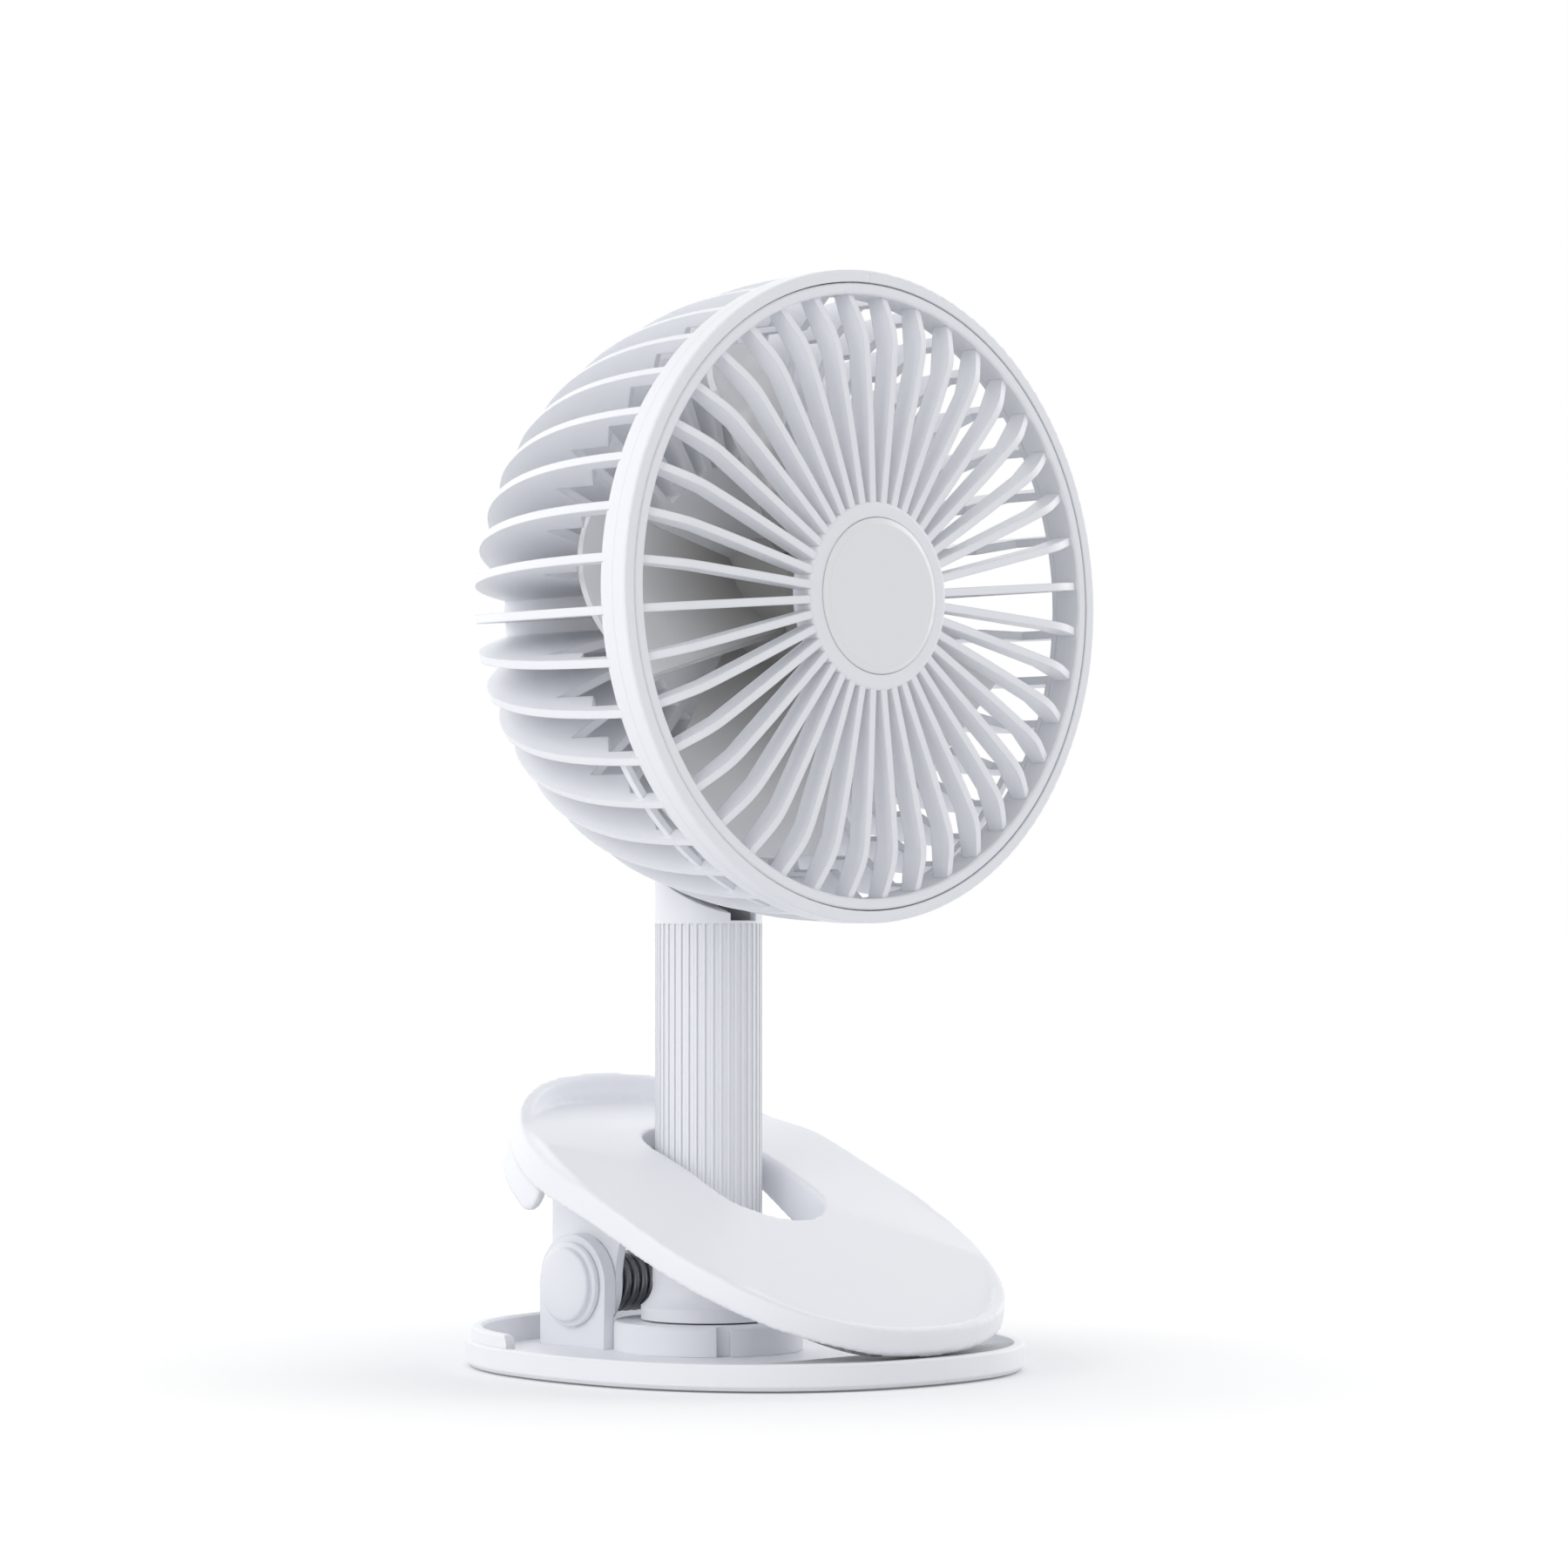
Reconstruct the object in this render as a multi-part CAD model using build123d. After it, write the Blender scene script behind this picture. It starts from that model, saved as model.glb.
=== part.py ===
from build123d import *
import math
import os

# Clip fan with a round clamp base.  Millimetres.  The fan looks along -Y, +Z is up, and the
# origin lies on the column's axis, in the plane that the foot pad rests on.

# ---- driving dimensions: head ------------------------------------------------------------
RIM_R = 63.5  # outer radius of the round head
RIM_Y = -46.7  # front plane of the rim
BAND_DEPTH = 6.5  # depth of the plain band behind the rim's face
BAND_WALL = 2.4  # width of the band's front lip
BAND_EDGE = 0.6
DOME_DEPTH = 80.5  # from the rim's plane to the pole of the rear dome
DOME_POWER_D = 2.08  # dome's curve: (r / R)^POWER_R + u^POWER_D = 1, with u from 0 to 1 in depth
DOME_POWER_R = 2.92
RIB_COUNT = 40  # spokes in front and fins behind
FIN_T = 1.7  # thickness of a rear fin
FIN_STEP = 0.2  # how far the fins stand in from the band
FIN_RIM_DEPTH = 3.0  # radial depth of a fin round the front of the impeller
FIN_RUN = 11.0  # length of that shallow stretch behind the band
FIN_SHOULDER = 6.0  # size of the 45 degree step inwards after it
HOOP_D = 12.5  # depth of the thin hoop that ties the lowest fins
HOOP_T = 1.6  # width of the hoop
HOOP_FINS = 13  # gaps between fins that the hoop spans, over the neck
KEEL_FRONT_D = 27.0  # keel between the lowest fins
KEEL_REAR_R = 42.0  # the keel ends where its lower edge has come in to this radius
KEEL_END = 5.2  # height of the keel there
KEEL_STEP = 1.0  # how far the keel stands in from the fins

# ---- driving dimensions: front grille ----------------------------------------------------
SEAM = 0.2  # groove between the band and the grille's ring
RING_WALL = 2.2  # radial width of the grille's ring
RING_DEPTH = 6.0
SPOKE_T = 1.6
SPOKE_DEPTH = 4.2  # depth of a spoke's plate
SPOKE_RECESS = 1.2  # how far a spoke's outer end lies behind the rim's plane
SPOKE_RISE = 3.0  # how far the spokes stand in front of it
SPOKE_PEAK_R = 48.0  # radius where they stand furthest forward
HUB_R = 18.4  # grille's hub
HUB_RISE = 2.6
HUB_DEPTH = 5.0
MEDALLION_R = 15.2
MEDALLION_T = 1.6
MEDALLION_RISE = 0.7  # how far the medallion stands out of the hub

# ---- driving dimensions: impeller and motor ----------------------------------------------
BLADE_COUNT = 5
BLADE_R = 52.0
BLADE_T = 1.5
BLADE_MID_D = 21.0  # depth of the blades' middle behind the rim's plane
BLADE_ROOT_CHORD = 22.0
BLADE_ROOT_PITCH = 48.0
BLADE_TIP_CHORD = 42.0
BLADE_TIP_PITCH = 24.0
BLADE_CAMBER = 4.2
IMPELLER_HUB_R = 13.0
IMPELLER_FRONT_D = 8.5
IMPELLER_DEPTH = 21.0
HOUSING_R = 28.0  # round motor housing in the middle of the rear cage
HOUSING_WALL = 2.0
HOUSING_FRONT_D = 34.5
MOTOR_R = 12.0
MOTOR_LEN = 24.0
SHAFT_R = 1.5
BUSH_R = 3.2
BUSH_LEN = 3.5
MOTOR_BOSS_LEN = 1.5

# ---- driving dimensions: rear controls ---------------------------------------------------
CAP_WALL = 1.8
CAP_SKIRT = 4.0
CAP_SCREW_PCD = 42.0
CAP_POST_R = 3.0
CAP_POST_LEN = 3.0  # below the seats of the screws' heads
CAP_SEAT_DROP = 5.6  # from the dome's pole to those seats
BUTTON_R = 5.5
BUTTON_PROUD = 0.7
BUTTON_TRAVEL = 0.5
BUTTON_FLANGE = 1.6
BUTTON_FLANGE_R = 6.9
BOARD_R = 23.0
BOARD_T = 1.6
BUTTON_STEM = 3.6  # from the button's flange down to the switch
SWITCH_H = 5.0
USB_W = 8.9
USB_H = 3.2
USB_DROP = 14.0  # below the head's axis
LIGHT_R = 1.1
LIGHT_RISE = 11.0  # above the head's axis

# ---- driving dimensions: column ----------------------------------------------------------
COLUMN_R = 10.76
COLUMN_BORE_R = 9.3
FLUTE_COUNT = 40
FLUTE_DEPTH = 0.32
FLUTE_W = 0.95
FLUTE_END = 2.7  # the flutes end this far above the tilt axis
SLEEVE_R = 11.23  # plain lower end of the column, just over the fluted part
SLEEVE_TOP_Z = 26.5
SLEEVE_MID_Z = 19.5
SLEEVE_LOW_Z = 16.4
FLARE_R = 13.55
FLARE_TOP_Z = 11.6
FLARE_HOLLOW = (11.95, 13.2)  # the flare's hollow curve passes through this point (r, z)
FOOT_PLUG_T = 3.2  # floor of the flared foot, under the cell
LAP_R = 10.0  # the foot's upper end reaches into the tube with this radius
LAP_LEN = 4.0
NECK_SLOT_W = 6.7
NECK_SLOT_FLOOR = 3.4  # floor of the slot in the front of the neck, above the tilt axis
YOKE_LEN = 13.0
YOKE_DROP = 6.0  # from the pin to the underside of the yoke
TILT_Y = 5.0  # tilt axis
EYE_DROP = 2.9  # from the lowest point of the round head down to the tilt axis
TILT_PIN_R = 2.0
TILT_UP = 35.0  # range of the tilt in degrees
TILT_DOWN = 5.0
TONGUE_T = 6.0
TONGUE_EYE_R = 4.3
CELL_R = 9.15  # lithium cell, 18.3 by 65
CELL_LEN = 65.0
CELL_CAP_T = 0.8
CELL_TOP_PAD_T = 1.26  # gap over the cell, which its top pad fills

# ---- driving dimensions: base and swivel -------------------------------------------------
BASE_RX = 50.9
BASE_RY = 56.2
BASE_Y = -10.4
BASE_POWER = 2.26
PAD_PROUD = 0.4
PAD_T = 0.9
PAD_INSET = 4.5
RIM_TOP_Z = 5.4
FLOOR_Z = 2.7
BASE_RIM_W = 2.0
LIP_TOP_Z = 8.0
LIP_W = 2.2
LIP_INSET = 1.2  # how far the lip stands in from the rim
LIP_EDGE = 0.5  # chamfer along its top
LIP_CORNER = 1.8  # rounding of the two corners where it ends
LIP_FRONT_Y = 5.3
SEAT_R = 19.0  # fixed disc that the column turns on
SEAT_TOP_Z = 8.6
SPIGOT_R = 8.0
RETAINER_R = 10.6
RETAINER_T = 1.5
SEAT_SCREW_R = 14.0

# ---- driving dimensions: clamp -----------------------------------------------------------
HINGE_Y = 22.7
HINGE_Z = 15.3
EAR_R = 10.0
EAR_X = 16.5  # outer face of an ear
EAR_T = 2.9
HINGE_CAP_R = 8.5
HINGE_CAP_T = 3.0
HINGE_PIN_R = 2.0
CHEEK_X = 13.4  # outer face of a cheek of the jaw frame
CHEEK_T = 1.9
CHEEK_BOSS_R = 9.7
CHEEK_CUT = (10.8, 25.8)  # the cheek's front edge curls forward through this point (y, z)
CHEEK_TIP = (2.0, 35.5)  # to this one, under the jaw
BRIDGE_DROP = 9.0  # top of the plate that joins the cheeks, below the jaw's crest
BRIDGE_T = 1.6
BRIDGE_FRONT = 35.0
BRIDGE_REAR = 45.5
BRIDGE_SCREW_X = 4.0
BRIDGE_SCREW_Y = 40.5
WIRE_R = 0.8
COIL_R = 5.4
COIL_LEN = 18.0
COIL_ARCS = 17  # pieces of about half a turn
WIRE_SIDES = 8
LEG_LOW = -120.0  # where the legs leave the coil, in degrees
LEG_HIGH = 165.0
JAW_TILT = 25.0
JAW_Y = -15.8  # middle of the upper jaw's rim
JAW_Z = 33.6
JAW_RX = 40.6
JAW_RY = 54.6
JAW_POWER = 2.43
JAW_H_FRONT = 4.6
JAW_H_REAR = 5.6
JAW_DRAFT = 0.22  # outward slope of the side wall, mm per mm
JAW_LIP_W = 1.5
JAW_SKIN = 1.9
JAW_OPEN = 30.0
SLOT_RX = 12.4
SLOT_FRONT = -12.5  # front and rear ends of the column slot, along the jaw
SLOT_REAR = 32.0
SLOT_WALL = 1.5
SLOT_DROP = 5.5  # depth of the slot's wall round its rear end
SLOT_DROP_FRONT = 9.5  # and at its front end
SLOT_LEVEL_Y = 12.0  # where the wall's lower edge runs level again
APRON_FRONT = 20.6  # the skirt's deep part, for the fingers, runs from here round the rear end
APRON_DROP = 13.5
APRON_CORNER = 4.5
APRON_OUT = 0.4  # how far the apron stands outside the jaw's oval; the wall above it flares over it
JAW_CROWN = 3.0  # how much lower the floor is at its sides
GRIP_T = 2.6
GRIP_REAR = -38.0

# ---- clearances --------------------------------------------------------------------------
FIT = 0.05  # running fit, radial
SNUG = 0.02  # pressed or glued pieces of one body
SWITCH_GAP = 0.1  # between the button's stem and the switch
SEAT_GAP = 0.3  # faces that turn or rest on each other
SADDLE_GAP = 0.45  # between the drum and the neck
TINY = 0.01

# ---- worked out --------------------------------------------------------------------------
RIB_PITCH = 360.0 / RIB_COUNT
FIRST_RIB = RIB_PITCH / 2
FIN_R = RIM_R - FIN_STEP
RING_R = RIM_R - BAND_WALL - SEAM
RING_IN_R = RING_R - RING_WALL
HOUSING_BORE_R = HOUSING_R - HOUSING_WALL
CAP_R = HOUSING_BORE_R - SNUG
BUTTON_FLANGE_D = DOME_DEPTH - CAP_WALL - SEAT_GAP - BUTTON_FLANGE
BOARD_D = BUTTON_FLANGE_D - BUTTON_STEM - BUTTON_TRAVEL - SWITCH_GAP - SWITCH_H - BOARD_T
MOTOR_D = HOUSING_FRONT_D + HOUSING_WALL + SNUG
SEAT_BORE_R = SPIGOT_R + FIT
FOOT_Z = SEAT_TOP_Z + SEAT_GAP
CELL_LOW = FOOT_Z + FOOT_PLUG_T + CELL_CAP_T + 2 * SNUG
YOKE_LOW = CELL_LOW + CELL_LEN + CELL_TOP_PAD_T
TILT_Z = YOKE_LOW + YOKE_DROP
AXIS_Z = TILT_Z + EYE_DROP + RIM_R  # height of the head's axis
YOKE_R = COLUMN_BORE_R - SNUG
HEAD = Pos(0, RIM_Y, AXIS_Z) * Rot(-90, 0, 0)  # local z is depth behind the rim, local y is down
TILT_AXIS = Axis((0, TILT_Y, TILT_Z), (1, 0, 0))
JAW = Pos(0, JAW_Y, JAW_Z) * Rot(JAW_TILT, 0, 0)  # local y runs up and back along the jaw


# ---- small helpers -----------------------------------------------------------------------
def dome_radius(depth):
    """Radius of the head's outline at a depth behind the rim's plane."""
    u = max(0.0, min(1.0, (depth - BAND_DEPTH) / (DOME_DEPTH - BAND_DEPTH)))
    return FIN_R * (1 - u**DOME_POWER_D) ** (1 / DOME_POWER_R)


def dome_depth(radius):
    """Depth at which the head's outline has a radius."""
    u = (1 - (radius / FIN_R) ** DOME_POWER_R) ** (1 / DOME_POWER_D)
    return BAND_DEPTH + u * (DOME_DEPTH - BAND_DEPTH)


def disc(radius, low, high):
    """Plain cylinder on the local z axis, between two heights."""
    return Pos(0, 0, (low + high) / 2) * Cylinder(radius, high - low)


def ring(outer, inner, low, high):
    return disc(outer, low, high) - disc(inner, low - 1, high + 1)


def block(x0, x1, y0, y1, z0, z1):
    return Pos((x0 + x1) / 2, (y0 + y1) / 2, (z0 + z1) / 2) * Box(x1 - x0, y1 - y0, z1 - z0)


def rod_x(radius, x0, x1, y, z):
    """Cylinder along X."""
    return Pos((x0 + x1) / 2, y, z) * Rot(0, 90, 0) * Cylinder(radius, x1 - x0)


def arc_from(start, tangent, end):
    """The arc that leaves a point along a direction and ends at another point."""
    chord = end - start
    along = chord.normalized()
    side = tangent - along * tangent.dot(along)
    if side.length < 1e-5:
        return Line(start, end)
    sagitta = chord.length / 2 * math.tan(math.acos(min(1.0, tangent.dot(along))) / 2)
    return ThreePointArc(start, (start + end) / 2 + side.normalized() * sagitta, end)


def biarc(p0, t0, p1, t1):
    """Two arcs from p0 along t0 to p1 along t1, tangent to each other where they meet."""
    v, t = p1 - p0, t0 + t1
    a, b, c = 2 * (t0.dot(t1) - 1), -2 * v.dot(t), v.dot(v)
    d = -c / b if abs(a) < 1e-9 else (-b - math.sqrt(b * b - 4 * a * c)) / (2 * a)
    q0, q1 = p0 + t0 * d, p1 - t1 * d
    middle = (q0 + q1) / 2
    return [arc_from(p0, t0, middle), arc_from(middle, (q1 - q0).normalized(), p1)]


def arcs_through(knots):
    """A smooth chain of arcs through (point, direction) pairs."""
    out = []
    for (p0, t0), (p1, t1) in zip(knots, knots[1:]):
        out += biarc(Vector(*p0), Vector(*t0).normalized(), Vector(*p1), Vector(*t1).normalized())
    return out


def oval_knots(rx, ry, power, count=12):
    """Points and directions on an outline between an ellipse and a rectangle."""
    knots = []
    for i in range(count + 1):
        a = 2 * math.pi * (i % count) / count
        c, s = round(math.cos(a), 12), round(math.sin(a), 12)
        x = rx * math.copysign(abs(c) ** (2 / power), c)
        y = ry * math.copysign(abs(s) ** (2 / power), s)
        nx = math.copysign(abs(x / rx) ** (power - 1) / rx, c)
        ny = math.copysign(abs(y / ry) ** (power - 1) / ry, s)
        knots.append(((x, y), (-ny, nx)))
    return knots


def oval(rx, ry, power):
    return make_face(arcs_through(oval_knots(rx, ry, power)))


def oval_prism(rx, ry, power, low, high):
    return extrude(Pos(0, 0, low) * oval(rx, ry, power), high - low)


def side_plate(outline, x0, x1):
    """A face drawn in (y, z) and thickened from x0 to x1."""
    return extrude(Plane.YZ.offset(x0) * outline, x1 - x0)


def revolve_profile(edges):
    """Turn a closed (radius, depth) outline about the local z axis."""
    return revolve(Plane.XZ * make_face(edges), Axis.Z)


def dome_knots(depths, gap=0.0):
    """Points and directions on the head's outline, in (radius, depth)."""
    knots = []
    for d in depths:
        step = 0.01
        slope = (dome_radius(d + step) - dome_radius(d - step)) / (2 * step) if d > BAND_DEPTH else 0.0
        knots.append(((dome_radius(d) + gap, d), (slope, 1)))
    return knots


def around(shape, count, first=0.0, step=None):
    """Copies of a shape about the local z axis."""
    step = 360.0 / count if step is None else step
    return [Rot(0, 0, first + i * step) * shape for i in range(count)]


def sector(angle, radius, low, high):
    """Wedge of a disc about local +Y, which is down on the head."""
    half = math.radians(angle / 2)
    reach = 2 * radius
    far = (reach * math.sin(half), reach * math.cos(half))
    outline = Polyline((0, 0), far, (0, reach), (-far[0], far[1]), (0, 0))
    return extrude(Pos(0, 0, low) * make_face(outline), high - low)


def save(shape, node):
    """One STEP file per piece, as a group of its separate solids."""
    if isinstance(shape, (list, tuple)):
        solids = [s for part in shape for s in part.solids()]
    else:
        solids = shape.solids()
    out = solids[0] if len(solids) == 1 else Compound(children=list(solids))
    out.label = node
    export_step(out, f"parts/{node}.step")
    print(f"{node}: {len(solids)} solid(s)")


# ---- head: rear cage ---------------------------------------------------------------------
def fin():
    """One meridian fin, drawn in (radius, depth)."""
    end_d = dome_depth(HOUSING_R)
    root_r = HOUSING_R - HOUSING_WALL / 2
    shallow_r = RIM_R - FIN_RIM_DEPTH
    start_d = BAND_DEPTH - 0.2
    run_d = BAND_DEPTH + FIN_RUN
    knots = dome_knots([BAND_DEPTH, 42.0, 66.0, end_d])
    rest = Polyline(
        knots[-1][0],
        (root_r, end_d),
        (root_r, HOUSING_FRONT_D),
        (shallow_r - FIN_SHOULDER, HOUSING_FRONT_D),
        (shallow_r - FIN_SHOULDER, run_d + FIN_SHOULDER),
        (shallow_r, run_d),
        (shallow_r, start_d),
        (FIN_R, start_d),
        knots[0][0],
    )
    return extrude(Plane.XZ * make_face(arcs_through(knots) + rest.edges()), FIN_T / 2, both=True)


def tongue():
    """Keel between the two lowest fins, with the eye of the tilt hinge below the drum."""
    keel_half = RIM_R * math.sin(math.radians(FIRST_RIB))
    inner_r = RIM_R - FIN_RIM_DEPTH - FIN_SHOULDER
    rear_d = dome_depth(KEEL_REAR_R + KEEL_END + KEEL_STEP)
    knots = dome_knots([KEEL_FRONT_D, (KEEL_FRONT_D + rear_d) / 2, rear_d], -KEEL_STEP)
    rest = Polyline(
        knots[-1][0], (KEEL_REAR_R, rear_d), (KEEL_REAR_R, HOUSING_FRONT_D),
        (inner_r, HOUSING_FRONT_D), (inner_r, KEEL_FRONT_D), knots[0][0],
    )
    keel = extrude(Plane.YZ * make_face(arcs_through(knots) + rest.edges()), keel_half, both=True)
    eye_y, eye_d = AXIS_Z - TILT_Z, TILT_Y - RIM_Y  # in local y (down) and depth
    root_y = dome_radius(eye_d) - 6
    stem = block(-TONGUE_T / 2, TONGUE_T / 2, root_y, eye_y, eye_d - TONGUE_EYE_R, eye_d + TONGUE_EYE_R)
    stem += rod_x(TONGUE_EYE_R, -TONGUE_T / 2, TONGUE_T / 2, eye_y, eye_d)
    return keel + stem - rod_x(TILT_PIN_R + FIT, -20, 20, eye_y, eye_d)


def rear_cage():
    band = ring(RIM_R, RIM_R - BAND_WALL, 0, BAND_DEPTH)
    band = fillet(band.edges().filter_by(GeomType.CIRCLE).group_by(SortBy.RADIUS)[-1], BAND_EDGE)
    ledge = ring(RIM_R - 0.5, RING_IN_R, RING_DEPTH + TINY, BAND_DEPTH + 0.8)
    shallow_r = RIM_R - FIN_RIM_DEPTH
    hoop = ring(shallow_r + HOOP_T, shallow_r + 0.3, HOOP_D, HOOP_D + HOOP_T)
    hoop &= sector(HOOP_FINS * RIB_PITCH, RIM_R, HOOP_D - 1, HOOP_D + HOOP_T + 1)
    rear_d = dome_depth(HOUSING_R)
    housing = ring(HOUSING_R, HOUSING_BORE_R, HOUSING_FRONT_D, rear_d)
    plate = disc(HOUSING_R - 0.5, HOUSING_FRONT_D, HOUSING_FRONT_D + HOUSING_WALL)
    plate -= disc(BUSH_R + SEAT_GAP, 0, DOME_DEPTH)
    for hole in around(Pos(MOTOR_R * 0.66, 0, HOUSING_FRONT_D) * Cylinder(1.3, 10), 2):
        plate -= hole
    cage = band + ledge + hoop + housing + plate
    cage = cage.fuse(*around(fin(), RIB_COUNT, FIRST_RIB))
    for post in around(Pos(CAP_SCREW_PCD / 2, 0, 0) * ring(2.6, 1.0, HOUSING_FRONT_D + 1, rear_d - 5.5), 3, 90):
        cage += post
    return HEAD * (cage + tongue())


# ---- head: front grille ------------------------------------------------------------------
def spoke():
    """One spoke, drawn in (radius, depth): recessed at its outer end, then domed forward."""
    outer_r, inner_r = RING_IN_R + 0.6, HUB_R - 1
    knots = [
        ((outer_r, SPOKE_RECESS), (-1, -0.55)),
        ((SPOKE_PEAK_R, -SPOKE_RISE), (-1, -0.02)),
        ((inner_r, -HUB_RISE + 0.3), (-1, 0.04)),
    ]
    rest = Polyline(
        knots[-1][0],
        (inner_r, HUB_DEPTH - HUB_RISE - 0.8),
        (SPOKE_PEAK_R, SPOKE_DEPTH - SPOKE_RISE),
        (outer_r, SPOKE_RECESS + SPOKE_DEPTH - 0.6),
        knots[0][0],
    )
    return extrude(Plane.XZ * make_face(arcs_through(knots) + rest.edges()), SPOKE_T / 2, both=True)


def front_grille():
    outer = ring(RING_R, RING_IN_R, 0, RING_DEPTH)
    outer = chamfer(outer.edges().filter_by(GeomType.CIRCLE).group_by(Axis.Z)[0], 0.3)
    hub = disc(HUB_R, -HUB_RISE, HUB_DEPTH - HUB_RISE)
    hub = fillet(hub.edges().filter_by(GeomType.CIRCLE).group_by(Axis.Z)[0], 0.9)
    hub -= disc(MEDALLION_R + 0.1, -HUB_RISE - 1, -HUB_RISE + MEDALLION_T - MEDALLION_RISE)
    grille = (outer + hub).fuse(*around(spoke(), RIB_COUNT, FIRST_RIB))
    return HEAD * grille


def hub_medallion():
    top = -HUB_RISE - MEDALLION_RISE
    plate = disc(MEDALLION_R, top, top + MEDALLION_T - TINY)
    return HEAD * chamfer(plate.edges().filter_by(GeomType.CIRCLE).group_by(Axis.Z)[0], 0.6, 1.3)


# ---- head: impeller and motor ------------------------------------------------------------
def blade_section(radius, chord, pitch, camber):
    """A cambered section of a blade, on a plane that faces out along X at a radius."""
    half = chord / 2
    top = ThreePointArc((-half, 0), (0, camber), (half, 0))
    low = ThreePointArc((half, -BLADE_T), (0, camber - BLADE_T), (-half, -BLADE_T))
    face = make_face(top + Line(top @ 1, low @ 0) + low + Line(low @ 1, top @ 0))
    plane = Plane(origin=(radius, 0, BLADE_MID_D), x_dir=(0, 1, 0), z_dir=(1, 0, 0))
    return plane * Rot(0, 0, pitch) * face


def blade():
    root = blade_section(IMPELLER_HUB_R - 1.5, BLADE_ROOT_CHORD, BLADE_ROOT_PITCH, BLADE_CAMBER / 2)
    tip = blade_section(BLADE_R + 2, BLADE_TIP_CHORD, BLADE_TIP_PITCH, BLADE_CAMBER)
    rough = loft([root, tip], ruled=True)
    # the tip is round seen from the front: the sweep of a circle a little larger than the blade
    sweep = disc(BLADE_R, 0, 60) & (Pos(BLADE_R - 27, 0, 0) * disc(27, 0, 60) + block(0, BLADE_R - 27, -23, 23, 0, 60))
    return rough & sweep


def impeller():
    back_d = IMPELLER_FRONT_D + IMPELLER_DEPTH
    hub = disc(IMPELLER_HUB_R, IMPELLER_FRONT_D, back_d)
    hub = chamfer(hub.edges().filter_by(GeomType.CIRCLE).group_by(Axis.Z)[0], 2.0)
    hub = hub.fuse(*around(blade(), BLADE_COUNT, 36))
    hub -= ring(IMPELLER_HUB_R - 1.8, SHAFT_R + 2.5, IMPELLER_FRONT_D + 6, back_d + 1)
    hub -= disc(SHAFT_R + SNUG / 2, IMPELLER_FRONT_D + 3, back_d + 1)
    return HEAD * hub


def motor_shaft():
    return HEAD * disc(SHAFT_R, IMPELLER_FRONT_D + 3 + TINY, MOTOR_D + MOTOR_LEN + 1.5)


def motor_rotor():
    return HEAD * ring(MOTOR_R - 2.2, SHAFT_R + SNUG / 2, MOTOR_D + 5, MOTOR_D + MOTOR_LEN - 5)


def motor_case():
    """Can of the motor with a boss that centres it in the housing plate."""
    case = disc(MOTOR_R, MOTOR_D, MOTOR_D + MOTOR_LEN)
    case += disc(BUSH_R + SEAT_GAP - SNUG, MOTOR_D - MOTOR_BOSS_LEN, MOTOR_D + 1)
    case -= disc(MOTOR_R - 1.5, MOTOR_D + 4.2, MOTOR_D + MOTOR_LEN - 4.2)
    case -= disc(BUSH_R - 0.5 + SNUG, MOTOR_D - 5, MOTOR_D - MOTOR_BOSS_LEN + BUSH_LEN)
    case -= disc(BUSH_R - 0.5 + SNUG, MOTOR_D + MOTOR_LEN - BUSH_LEN, MOTOR_D + MOTOR_LEN + 1)
    case -= disc(SHAFT_R + 0.3, 0, DOME_DEPTH)
    for hole in around(Pos(MOTOR_R * 0.66, 0, MOTOR_D) * Cylinder(1.0, 7), 2):
        case -= hole
    return HEAD * case


def motor_bushes():
    front = MOTOR_D - MOTOR_BOSS_LEN
    rear = MOTOR_D + MOTOR_LEN
    bush = [ring(BUSH_R - 0.5, SHAFT_R + FIT, d, d + BUSH_LEN - SNUG) for d in (front, rear - BUSH_LEN + SNUG)]
    return [HEAD * b for b in bush]


def screw(head_r, head_t, shank_r, length):
    """Pan head screw on local z, its head's top at z = 0 and the shank going up, with a cross slot."""
    body = disc(head_r, 0, head_t) + disc(shank_r, head_t - TINY, head_t + length)
    slot = block(-head_r * 0.6, head_r * 0.6, -0.25, 0.25, -1, head_t * 0.45)
    return body - slot - Rot(0, 0, 90) * slot


def motor_screws():
    drive = Pos(MOTOR_R * 0.66, 0, HOUSING_FRONT_D - 1.1 - TINY) * screw(1.9, 1.1, 0.95, HOUSING_WALL + 3.0)
    return [HEAD * s for s in around(drive, 2)]


# ---- head: rear cap, button, board -------------------------------------------------------
def crown_drop(radius):
    """How far the rear cap's shallow dome lies below its top at a radius."""
    rise = DOME_DEPTH - dome_depth(HOUSING_R)
    ball = (CAP_R**2 + rise**2) / (2 * rise)
    return ball - math.sqrt(ball**2 - radius**2)


def crown(wall):
    """The rear cap's dome, lowered and narrowed by a wall."""
    edge = CAP_R - wall
    top = DOME_DEPTH - wall
    return ThreePointArc((edge, top - crown_drop(edge)), (edge / 2, top - crown_drop(edge / 2)), (0, top))


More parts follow.
